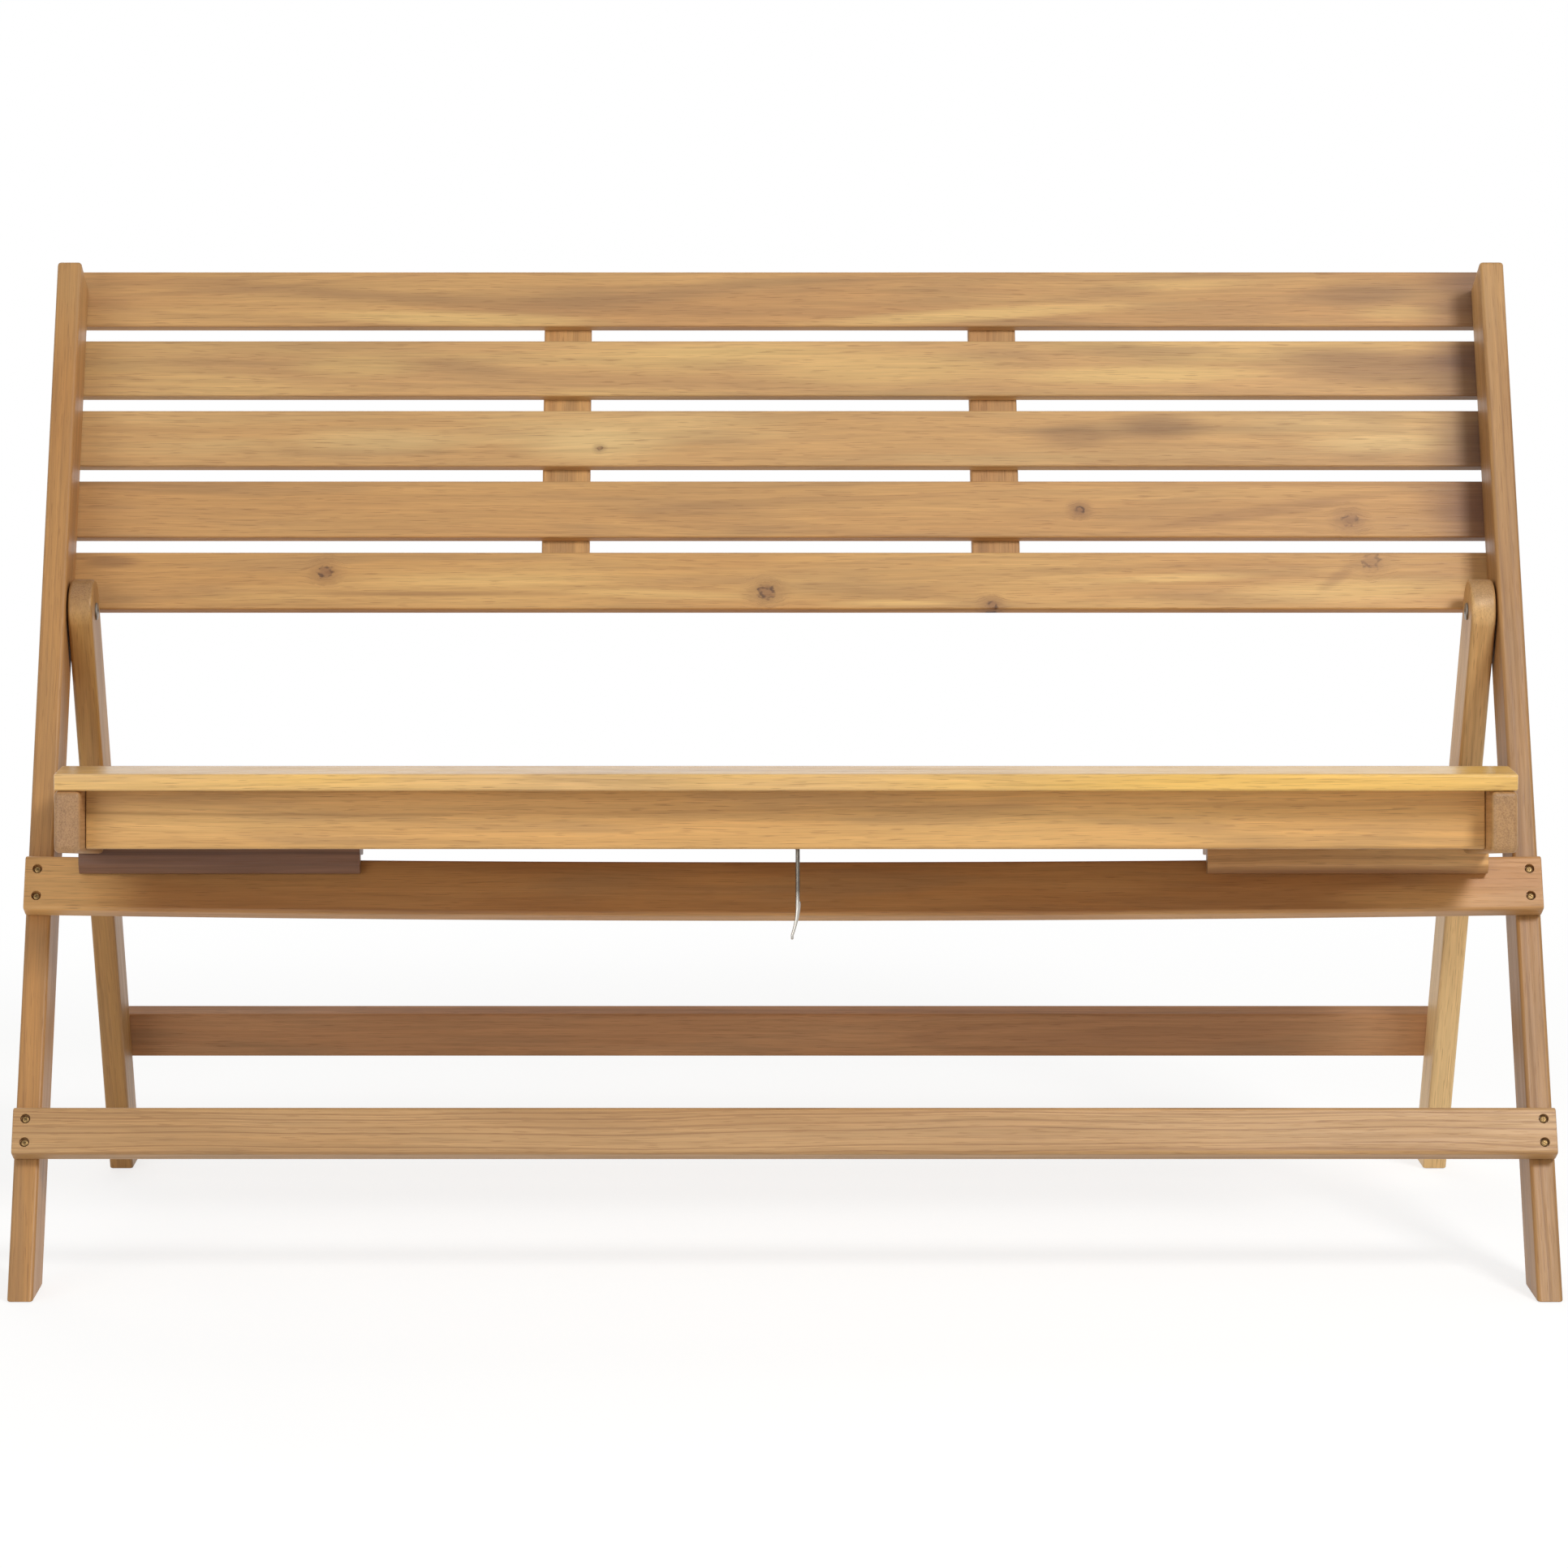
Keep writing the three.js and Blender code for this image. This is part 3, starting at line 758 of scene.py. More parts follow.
        colour = self.blend(tree, self.mask(tree, haze, *OIL_CLOUD.shows), self.bloom, colour,
                            linear(OIL_CLOUD_TONE))
        # Patches of sap or streak tone, some of them painted light or painted shade
        for patch in self.patches:
            tone = linear(self.streak if patch.dark else self.sap)
            colour = self.blend(tree, self.patch_mask(tree, place, cloud, patch), patch.strength,
                                colour, tone)
        return colour

    def patch_mask(self, tree: Tree, place: Socket, cloud: Socket, patch: Patch) -> Socket:
        """The mask of one soft-edged patch, which may be a streak in the wood, painted light or
        painted shade.

        Args:
            tree: the material's node tree.
            place: the board's own coordinates.
            cloud: slow noise that frays the patch's edge.
            patch: the patch.

        Returns:
            Its mask.
        """
        own = add_node(tree, "ShaderNodeMapping",
                       {"Vector": place, "Location": (patch.along * MM, patch.across * MM, 0),
                        "Rotation": (0, 0, math.radians(patch.tilt)),
                        "Scale": (patch.reach * MM, patch.spread * MM, 1)}, vector_type="TEXTURE")
        length = add_node(tree, "ShaderNodeVectorMath", {0: own}, NUMBER, operation="LENGTH")
        length = add_node(tree, "ShaderNodeMath", {0: cloud, 1: WOOD.patch_fray, 2: length},
                          operation="MULTIPLY_ADD")
        return self.mask(tree, length, *WOOD.patch_edge)

    def surface(self, tree: Tree, place: Socket, bent: Socket, colour: Socket,
                length: Vector) -> None:
        """Adds fibres, pores and end grain, and closes the material.

        Args:
            tree: the material's node tree.
            place: the board's own coordinates.
            bent: coordinates that follow the grain.
            colour: the board's figure.
            length: the way of the grain in the bench's axes.
        """
        bundle = self.noise(tree, bent, BUNDLE)
        hair = self.noise(tree, bent, HAIR)
        pore = self.mask(tree, self.noise(tree, bent, PORE), *PORE.shows)
        for source, grain in ((bundle, BUNDLE), (hair, HAIR)):
            level = add_node(tree, "ShaderNodeMapRange",
                             {"Value": source, "From Min": grain.shows[0],
                              "From Max": grain.shows[1], "To Min": grain.low,
                              "To Max": grain.high})
            colour = add_node(tree, "ShaderNodeMix", {0: 1.0, BELOW: colour, ABOVE: level}, MIXED,
                              data_type="RGBA", blend_type="MULTIPLY")
        colour = self.blend(tree, pore, WOOD.pore_share, colour, linear(PORE_TONE))
        # A sawn end is one whose face looks along the grain
        normal = add_node(tree, "ShaderNodeTexCoord", output="Normal")
        run = add_node(tree, "ShaderNodeVectorMath", {0: normal, 1: length}, NUMBER,
                       operation="DOT_PRODUCT")
        run = add_node(tree, "ShaderNodeMath", {0: run}, operation="ABSOLUTE")
        end = self.mask(tree, run, *WOOD.sawn_end)
        dots = self.mask(tree, self.noise(tree, place, SAWN_DOT), *SAWN_DOT.shows)
        sawn = add_node(tree, "ShaderNodeMix",
                        {0: dots, BELOW: linear(SAWN_TONE), ABOVE: linear(SAWN_DOT_TONE)}, MIXED,
                        data_type="RGBA")
        colour = self.blend(tree, end, WOOD.sawn_share, colour, sawn)
        sheen = add_node(tree, "ShaderNodeMapRange",
                         {"Value": bundle, "From Min": BUNDLE.shows[0],
                          "From Max": BUNDLE.shows[1],
                          "To Min": self.roughness + WOOD.sheen_spread,
                          "To Max": self.roughness - WOOD.sheen_spread})
        height = add_node(tree, "ShaderNodeMath", {0: pore, 1: WOOD.pore_relief, 2: hair},
                          operation="MULTIPLY_ADD")
        height = add_node(tree, "ShaderNodeMath", {0: bundle, 1: WOOD.bundle_relief, 2: height},
                          operation="MULTIPLY_ADD")
        relief = add_node(tree, "ShaderNodeBump",
                          {"Strength": WOOD.relief_strength, "Distance": WOOD.relief_depth * MM,
                           "Height": height})
        wood = add_node(tree, "ShaderNodeBsdfPrincipled",
                        {"Base Color": colour, "Roughness": sheen, "Normal": relief,
                         "IOR": WOOD.oil_ior})
        add_node(tree, "ShaderNodeOutputMaterial", {"Surface": wood})


# Metal


@dataclass(frozen=True)
class PlatedSteel:
    """Turned or drawn steel with a thin bright plating, a little clouded by handling.

    Its clouding and the fine marks of turning or drawing have real sizes in millimetres. The
    clouds change its roughness a little, down and up. A piece may have a painted highlight, a
    paler tone below a height of the standing bench.
    """

    name: str
    colour: str
    cloud: str
    roughness: float
    painted_highlight: str = ""
    highlight_below: float = 0.0
    highlight_fade: float = 12.0
    cloud_size: float = 4.0
    cloud_detail: float = 3.0
    smoother: float = 0.1
    rougher: float = 0.12
    mark_spacing: float = 0.35
    mark_detail: float = 1.0
    mark_depth: float = 0.02
    mark_strength: float = 0.25

    def dress(self, piece: Piece) -> None:
        """Gives a piece this plating, from one material that all such pieces share.

        Args:
            piece: the piece.
        """
        material = bpy.data.materials.get(self.name) or self.material()
        piece.data.materials.clear()
        piece.data.materials.append(material)

    def material(self) -> Material:
        """Builds the plating's nodes.

        Returns:
            The finished material.
        """
        material, tree = new_material(self.name)
        place = add_node(tree, "ShaderNodeTexCoord", output="Object")
        haze = add_node(tree, "ShaderNodeTexNoise",
                        {"Vector": place, "Scale": 1 / (self.cloud_size * MM),
                         "Detail": self.cloud_detail})
        colour = add_node(tree, "ShaderNodeMix",
                          {0: haze, BELOW: linear(self.colour), ABOVE: linear(self.cloud)}, MIXED,
                          data_type="RGBA")
        # A painted highlight: the colour turns paler below a height, where the piece catches the
        # light
        if self.painted_highlight:
            height = add_node(tree, "ShaderNodeSeparateXYZ", {"Vector": place}, "Z")
            bright = add_node(tree, "ShaderNodeMapRange",
                              {"Value": height, "From Min": self.highlight_below * MM,
                               "From Max": (self.highlight_below - self.highlight_fade) * MM})
            colour = add_node(tree, "ShaderNodeMix",
                              {0: bright, BELOW: colour, ABOVE: linear(self.painted_highlight)}, MIXED,
                              data_type="RGBA")
        gloss = add_node(tree, "ShaderNodeMapRange",
                         {"Value": haze, "To Min": self.roughness - self.smoother,
                          "To Max": self.roughness + self.rougher})
        marks = add_node(tree, "ShaderNodeTexNoise",
                         {"Vector": place, "Scale": 1 / (self.mark_spacing * MM),
                          "Detail": self.mark_detail})
        relief = add_node(tree, "ShaderNodeBump",
                          {"Strength": self.mark_strength, "Distance": self.mark_depth * MM,
                           "Height": marks})
        metal = add_node(tree, "ShaderNodeBsdfPrincipled",
                         {"Base Color": colour, "Metallic": 1.0, "Roughness": gloss,
                          "Normal": relief})
        add_node(tree, "ShaderNodeOutputMaterial", {"Surface": metal})
        return material


# Barrel-plated zinc on the pivots: an even, half-dull grey
ZINC_PLATE = PlatedSteel("zinc_plate_on_steel", "#A9A69F", "#7F7A72", 0.42)
# Zinc on drawn wire: a dark grey that is partly painted shade for the upper wire, with a painted
# highlight that turns it paler below a height near the tip, where it catches the light
WIRE_ZINC_WITH_PAINTED_HIGHLIGHT = PlatedSteel("wire_zinc_with_painted_highlight", "#7E7870", "#544E47", 0.28,
                        painted_highlight="#BEBAB2", highlight_below=316.0)
# Yellow chromate on the screws: a brassy colour that has gone brown in the clouds
BRASS_WASH = PlatedSteel("brass_wash_on_steel", "#A88A5C", "#665136", 0.4)


# Making pieces


def finish_piece(piece: Piece, body: Body, slot: Slot, *nodes: str) -> None:
    """Says what a piece rides on and what it stands for.

    Args:
        piece: the piece.
        body: what it rides on.
        slot: not used.
        nodes: the solids that it stands for, none for a small screw.
    """
    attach(piece, body.value)
    if nodes:
        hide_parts(*nodes)
    log.info("%s rides on %s", piece.name, body.value)


# Straight steps in the rounding of a long arris and of a sawn end's
ARRIS_STEPS, END_ARRIS_STEPS = 4, 2
# An edge runs along the grain when this much of its direction does
ALONG_GRAIN = 0.75


@dataclass(frozen=True)
class Blank:
    """A piece of planed wood: an outline in its length and width, and its thickness.

    The long arrises and the sawn ends' have their own radii. A soft end has the long one's. A
    moulded piece has its section as its outline.
    """

    node: str
    corners: tuple[Corner, ...]
    thickness: float
    middle: Point3
    lie: Lie
    arris: float = 3.0
    end_arris: float = 1.3
    soft_ends: tuple[bool, bool] = (False, False)
    moulded: bool = False

    def is_soft(self, edge: bmesh.types.BMEdge) -> bool:
        """Says whether an edge gets the long arris, not the sharper one of a sawn end.

        Args:
            edge: the edge, in the blank's own axes.

        Returns:
            Whether it does.
        """
        run = (edge.verts[1].co - edge.verts[0].co).normalized()
        along = (edge.verts[0].co.x + edge.verts[1].co.x) / 2
        return abs(run.x) > ALONG_GRAIN or self.soft_ends[int(along > 0)]

    def build(self, place: Matrix, look: OiledAcacia, cuts: Sequence[Bore | Notch] = ()) -> Piece:
        """Makes the blank.

        Args:
            place: its sub-assembly's place, in metres.
            look: its wood.
            cuts: holes and notches, in the sub-assembly's axes.

        Returns:
            The piece.
        """
        shape = prism(eased_outline(self.corners), self.thickness)
        if self.moulded:
            # The outline is the section here, and what was the thickness is the length
            shape.transform(Matrix(((0, 0, 1), (1, 0, 0), (0, 1, 0))).to_4x4())
        ease_edges(shape, self.arris, ARRIS_STEPS, self.is_soft)
        ease_edges(shape, self.end_arris, END_ARRIS_STEPS, lambda edge: True)
        own = place @ Matrix.Translation(Vector(self.middle) * MM) @ self.lie.turn()
        piece = to_object(f"{self.node}_planed", shape, own)
        if cuts:
            cut_out(piece, cuts, place)
        steady_normals(piece)
        look.dress(piece, own)
        return piece


def rectangle(length: float, width: float) -> tuple[Corner, ...]:
    """The outline of a plain board."""
    half, side = length / 2, width / 2
    return (Corner(-half, -side), Corner(half, -side), Corner(half, side), Corner(-half, side))


@dataclass(frozen=True)
class SubFrame:
    """Where a sub-assembly's own axes stand: an origin in the side view and a lean about +X."""

    back: float
    up: float
    lean: float

    def place(self) -> Matrix:
        """The axes as a matrix, in metres."""
        shift = Matrix.Translation((0, self.back * MM, self.up * MM))
        return shift @ Matrix.Rotation(math.radians(self.lean), 4, "X")


# A screw head's domed face and rim: shares of its radius, and heights in millimetres
DOME = ((0.0, 0.0), (0.45, -0.06), (0.75, -0.2), (0.93, -0.45), (1.0, -0.8), (1.0, -1.2))


@dataclass(frozen=True)
class CrossHeadScrew:
    """A small screw with a domed head and a cross recess, its head's front at height zero."""

    head_radius: float = 2.9
    head_thickness: float = 2.0
    shank_radius: float = 1.8
    length: float = 37.2
    recess_reach: float = 1.75
    recess_width: float = 0.62
    recess_depth: float = 1.1
    neck: float = 0.3
    neck_length: float = 0.4
    point: float = 0.3
    point_length: float = 4.0
    sides: int = 40

    def build(self, name: str) -> Piece:
        """Makes the screw about the origin, with +Z out of its head.

        Args:
            name: its name.

        Returns:
            The screw, without its finish.
        """
        under = -self.head_thickness
        tip = under - self.length
        profile = [(self.head_radius * share, height) for share, height in DOME]
        profile += [(self.shank_radius + self.neck, under),
                    (self.shank_radius, under - self.neck_length),
                    (self.shank_radius, tip + self.point_length), (self.point, tip), (0, tip)]
        shape = turned(profile, self.sides)
        upright = Matrix.Identity(4)
        piece = to_object(name, shape, upright)
        recess = CrossRecess(self.recess_reach, self.recess_width, self.recess_depth)
        cut_out(piece, (recess,), upright)
        return piece


@dataclass(frozen=True)
class CrossRecess:
    """The cross in a screw's head, whose arms narrow towards the bottom."""

    reach: float
    width: float
    depth: float
    bottom_share: float = 0.45
    over: float = 0.5

    def cutter(self) -> Mesh:
        """Makes the recess as a solid.

        Returns:
            A closed mesh, in millimetres.
        """
        shape = bmesh.new()
        points = []
        for quarter in range(4):
            turn = Matrix.Rotation(quarter * math.pi / 2, 2)
            for spot in ((self.reach, -self.width / 2), (self.reach, self.width / 2),
                         (self.width / 2, self.width / 2)):
                points.append(turn @ Vector(spot))
        share = self.bottom_share
        top = [shape.verts.new((p.x, p.y, self.over)) for p in points]
        low = [shape.verts.new((p.x * share, p.y * share, -self.depth)) for p in points]
        shape.faces.new(top)
        shape.faces.new(reversed(low))
        for index in range(len(points)):
            turn = (index + 1) % len(points)
            shape.faces.new((low[index], low[turn], top[turn], top[index]))
        bmesh.ops.recalc_face_normals(shape, faces=shape.faces)
        return shape


RAIL_SCREW = CrossHeadScrew()
SLAT_SCREW = CrossHeadScrew(head_radius=3.2, head_thickness=1.6, shank_radius=1.5, length=18.0,
                            recess_reach=1.7, recess_width=0.6, recess_depth=1.0)


def copy_piece(source: Piece, name: str, place: Matrix) -> Piece:
    """Places another piece with the same mesh.

    Args:
        source: the first piece.
        name: the new one's name.
        place: where it stands, in metres.

    Returns:
        The new piece.
    """
    piece = bpy.data.objects.new(name, source.data)
    piece.matrix_world = place
    bpy.context.scene.collection.objects.link(piece)
    return piece


@dataclass
class ScrewBox:
    """Hands out screws that share one mesh."""

    pattern: CrossHeadScrew
    first: Piece | None = None

    def take(self, name: str, head: Matrix) -> Piece:
        """Gives the next screw.

        Args:
            name: its name.
            head: its head's place, whose +Z points out of the wood.

        Returns:
            The screw.
        """
        if self.first is None:
            self.first = self.pattern.build(name)
            BRASS_WASH.dress(self.first)
            self.first.matrix_world = head
            return self.first
        return copy_piece(self.first, name, head)


def facing(place: Matrix, spot: Point3, out: Point3, twist: float) -> Matrix:
    """A place whose +Z points out of a surface, turned by some degrees about that line.

    Args:
        place: the sub-assembly's place, in metres.
        spot: a point of the surface, in the sub-assembly's axes.
        out: the way out of the surface, in the same axes.
        twist: the turn in degrees.

    Returns:
        The place, in metres.
    """
    turn = Vector(out).to_track_quat("Z", "Y").to_matrix().to_4x4()
    return place @ Matrix.Translation(Vector(spot) * MM) @ turn @ Matrix.Rotation(
        math.radians(twist), 4, "Z")


# The bench


@dataclass(frozen=True)
class BenchSizes:
    """Sizes that the sub-assemblies share."""

    half_width: float = 600.0
    member: float = 20.0
    gap: float = 0.3
    leg_to_post: float = 1.5
    seat_to_leg: float = 2.5
    screw_shank: float = 1.8
    counterbore: float = 3.9
    counterbore_depth: float = 4.0
    head_sink: float = 1.6
    screw_bite: float = 24.0
    sleeve: float = 4.0
    cap_sink: float = 7.3
    cap_sink_depth: float = 2.8

    @property
    def post_middle(self) -> float:
        """The middle of a post's thickness."""
        return self.half_width - self.member / 2

    @property
    def leg_outer(self) -> float:
        """A rear leg's outer face."""
        return self.half_width - self.member - self.leg_to_post

    @property
    def seat_outer(self) -> float:
        """A seat rail's outer face."""
        return self.leg_outer - self.member - self.seat_to_leg


SIZES = BenchSizes()
# How far a cutter stands out of the wood
REACH = 3.0
# Flats round the sink of a small screw's head, and round the hole of the lock's eye
SINK_SIDES, EYE_HOLE_SIDES = 28, 24


def span(side: int, low: float, high: float) -> Point:
    """The X limits of something that runs from an inner to an outer distance on one side."""
    return (low, high) if side > 0 else (-high, -low)


def pivot_bores(side: int, inner: float, outer: float, back: float, up: float) -> list[Bore]:
    """The hole of a pivot through a member and the sink for its cap.

    Args:
        side: -1 or 1.
        inner: the member's inner face.
        outer: its outer face, with the sink.
        back: the pivot's depth in the sub-assembly's axes.
        up: its height there.

    Returns:
        The two bores.
    """
    through = span(side, inner - REACH, outer + REACH)
    sink = span(side, outer - SIZES.cap_sink_depth, outer + REACH)
    return [Bore((0, back, up), "X", SIZES.sleeve + SIZES.gap, *through),
            Bore((0, back, up), "X", SIZES.cap_sink, *sink)]


def rail_bores(x: float, up: float, face: float, inside: float) -> list[Bore]:
    """A rail screw's clearance hole and its counterbore in the face.

    Args:
        x: where across the bench it is.
        up: its height in the sub-assembly's axes.
        face: where the rail's outer face is.
        inside: where its face on the post or leg is.

    Returns:
        The two bores.
    """
    out = 1 if face > inside else -1
    through = sorted((face + out * REACH, inside - out * REACH))
    sink = sorted((face + out * REACH, face - out * SIZES.counterbore_depth))
    return [Bore((x, 0, up), "Y", SIZES.screw_shank + SIZES.gap, *through),
            Bore((x, 0, up), "Y", SIZES.counterbore, *sink)]


def pair_heights(top: float, height: float) -> Point:
    """The heights of the two screws at a rail's end."""
    middle = top - height / 2
    return middle - height / 4, middle + height / 4


@dataclass(frozen=True)
class Rail:
    """A rail across the bench, with two screws at each end.

    Its screws' names start with its screw stem. Their crosses are turned by the first twist for
    each screw of a pair and by the second for the side.
    """

    node: str
    screw_stem: str
    top: float
    height: float
    thickness: float
    look: OiledAcacia
    slot: Slot
    twists: Point
    sag: float = 0.0
    sag_steps: int = 24

    def outline(self, half: float) -> tuple[Corner, ...]:
        """Draws the rail, bowed down towards its middle by its sag.

        Args:
            half: half its length.

        Returns:
            Its outline.
        """
        if self.sag == 0:
            return rectangle(2 * half, self.height)
        shares = [2 * i / self.sag_steps - 1 for i in range(self.sag_steps + 1)]
        low, high = ([Corner(half * s, edge - self.sag * (1 - s * s)) for s in shares]
                     for edge in (-self.height / 2, self.height / 2))
        return tuple(low + high[::-1])

    def build(self, place: Matrix, top: float, face: float, inside: float, half: float,
              screw_x: float, screws: ScrewBox, body: Body) -> None:
        """Makes the rail and its four screws.

        Args:
            place: its sub-assembly's place, in metres.
            top: its top's height in the sub-assembly's axes.
            face: where its outer face is.
            inside: where its face on the posts or legs is.
            half: half its length.
            screw_x: how far its screws are from the middle.
            screws: where its screws come from.
            body: what it rides on.
        """
        out = 1 if face > inside else -1
        middle = (0, (face + inside) / 2, top - self.height / 2)
        blank = Blank(self.node, self.outline(half), self.thickness, middle, Lie.RAIL)
        cuts = []
        for name, side in SIDES:
            x = side * screw_x
            for number, up in enumerate(pair_heights(top, self.height), 1):
                cuts += rail_bores(x, up, face, inside)
                node = f"{self.screw_stem}_{name}_{number}"
                head = facing(place, (x, face - out * SIZES.head_sink, up), (0, out, 0),
                              self.twists[0] * number + self.twists[1] * side)
                screw = screws.take(f"{node}_turned", head)
                finish_piece(screw, body, Slot.BRASS, node)
        piece = blank.build(place, self.look, cuts)
        finish_piece(piece, body, self.slot, blank.node)


# A board's seed, heart, sap and streak tones, shares of sap and streak, ring width, pith and taper.
# Knots are where the real boards have theirs. Patches make a board paler or darker in places; some
# of them are painted light or painted shade, noted where they stand.
POST_LOOKS = {
    "left": OiledAcacia(11, "#B5824A", "#CDA066", "#885D38", 0.22, 0.35, 4.5, (6, -40), 0.4,
                        patches=(Patch(440, 0, 110, 40, 0.6),)),
    "right": OiledAcacia(23, "#A37643", "#CFA269", "#7E5732", 0.25, 0.45, 4.5, (-9, -38), 0.5,
                         patches=(Patch(440, 0, 150, 40, 0.9),)),
}

LOWER_RAIL_LOOK = OiledAcacia(31, "#BD9260", "#CCA574", "#8A5F3A", 0.4, 0.75, 2.2, (-60, -60), 0.12,
                              bloom=0.15)
# The upper rail's tones carry painted light and shade. Its heart tone is darker, partly the wood
# and
# along the bowed lower edge are a painted highlight of light from the floor.
# partly painted shade from the seat above its middle. The pale patches at both ends, and the one by
# the lower edge near the right end, are painted light where it falls past the seat. The pale strips
UPPER_RAIL_LOOK = OiledAcacia(37, "#AC7642", "#E3AE6C", "#845530", 0.25, 0.4, 5.0, (20, -50), 0.4,
                              patches=(Patch(-570, 0, 75, 60, 0.95), Patch(585, 0, 95, 60, 0.2),
                                       Patch(505, -16, 80, 15, 0.45), Patch(0, -33, 430, 8, 1.0),
                                       Patch(-400, -31, 320, 8, 1.0, -0.6),
                                       Patch(400, -31, 320, 8, 1.0, 0.6)))

# The dark patch at the right end of each of the top four slats is painted shadow: the shadow that
# the right post casts on the slat
BACK_SLAT_LOOKS = (
    OiledAcacia(41, "#C3935E", "#DCB474", "#7E5C42", 0.3, 0.25, 5.5, (6, -26), 0.9,
                patches=(Patch(-290, -18, 150, 9, 0.9, -2), Patch(-360, 4, 190, 10, 0.5, -3, True),
                         Patch(175, -14, 165, 8, 0.9, 4), Patch(329, 13, 100, 8, 0.5, 2),
                         Patch(495, 7, 75, 14, 0.5, 3, True), Patch(283, 8, 60, 10, 0.35, 0, True),
                         # The last patch is painted shadow of the right post on the slat's end
                         Patch(520, -13, 50, 9, 0.5), Patch(600, 4, 72, 60, 0.9, 0, True))),
    OiledAcacia(43, "#CA9D67", "#E2BC79", "#73533D", 0.5, 0.2, 6.0, (18, -40), 0.7,
                patches=(Patch(-48, 14, 130, 10, 0.6, 1), Patch(-353, 2, 60, 13, 0.4),
                         Patch(80, 0, 120, 20, 0.5), Patch(300, -6, 120, 10, 0.7, 1),
                         Patch(300, 16, 100, 8, 0.4, 0, True),
                         Patch(492, 2, 105, 22, 0.5, -6, True),
                         # Painted shadow of the right post on the slat's end
                         Patch(598, 0, 75, 60, 1.0, 0, True))),
    OiledAcacia(47, "#C99C65", "#E0BE83", "#70503A", 0.5, 0.2, 6.0, (-14, -44), 0.6,
                knots=(Knot(-150, -9, 1.8, 0.7),),
                patches=(Patch(-154, -3, 78, 22, 0.7), Patch(-330, -2, 90, 13, 0.5),
                         Patch(315, 10, 50, 15, 0.5, 0, True), Patch(243, 3, 42, 13, 0.4, 0, True),
                         # The last patch is painted shadow of the right post on the slat's end
                         Patch(500, -4, 80, 12, 0.6), Patch(598, 0, 75, 60, 1.0, 0, True))),
    OiledAcacia(53, "#C5955D", "#D2A66A", "#765038", 0.35, 0.24, 5.0, (4, -30), 0.8,
                knots=(Knot(247, -1, 3.2), Knot(470, -10, 5.0, 0.75)),
                patches=(Patch(300, 14, 220, 8, 0.4), Patch(395, -3, 130, 7, 0.3, 9, True),
                         # Painted shadow of the right post on the slat's end
                         Patch(598, 0, 75, 60, 1.0, 0, True))),
    OiledAcacia(59, "#C8975C", "#E4BA76", "#8D643E", 0.4, 0.3, 5.0, (-4, -28), 0.9,
                knots=(Knot(-375, 7.5, 4.6), Knot(-12, -10.5, 5.4), Knot(173, -22, 3.8),
                       Knot(486, 17, 6.0, 0.6)),
                patches=(Patch(-236, 0, 150, 10, 0.6), Patch(-290, -12, 150, 4, 0.6, 0, True),
                         Patch(-105, -12, 110, 6, 0.6, -2), Patch(97, -20, 70, 4, 0.7),
                         Patch(322, 2, 80, 5, 0.7, 2), Patch(470, -9, 125, 13, 0.75, 2),
                         Patch(458, 3, 26, 7, 0.35, 38, True),
                         Patch(-550, 17, 26, 6, 0.6, 0, True))),
)

BATTEN_LOOKS = {
    "left": OiledAcacia(61, "#CC9A60", "#DAAE70", "#8F6238", 0.4, 0.4, 4.0, (5, -22), 0.6),
    "right": OiledAcacia(67, "#BD8E5A", "#D0A56C", "#86592F", 0.4, 0.5, 4.0, (-6, -24), 0.6),
}


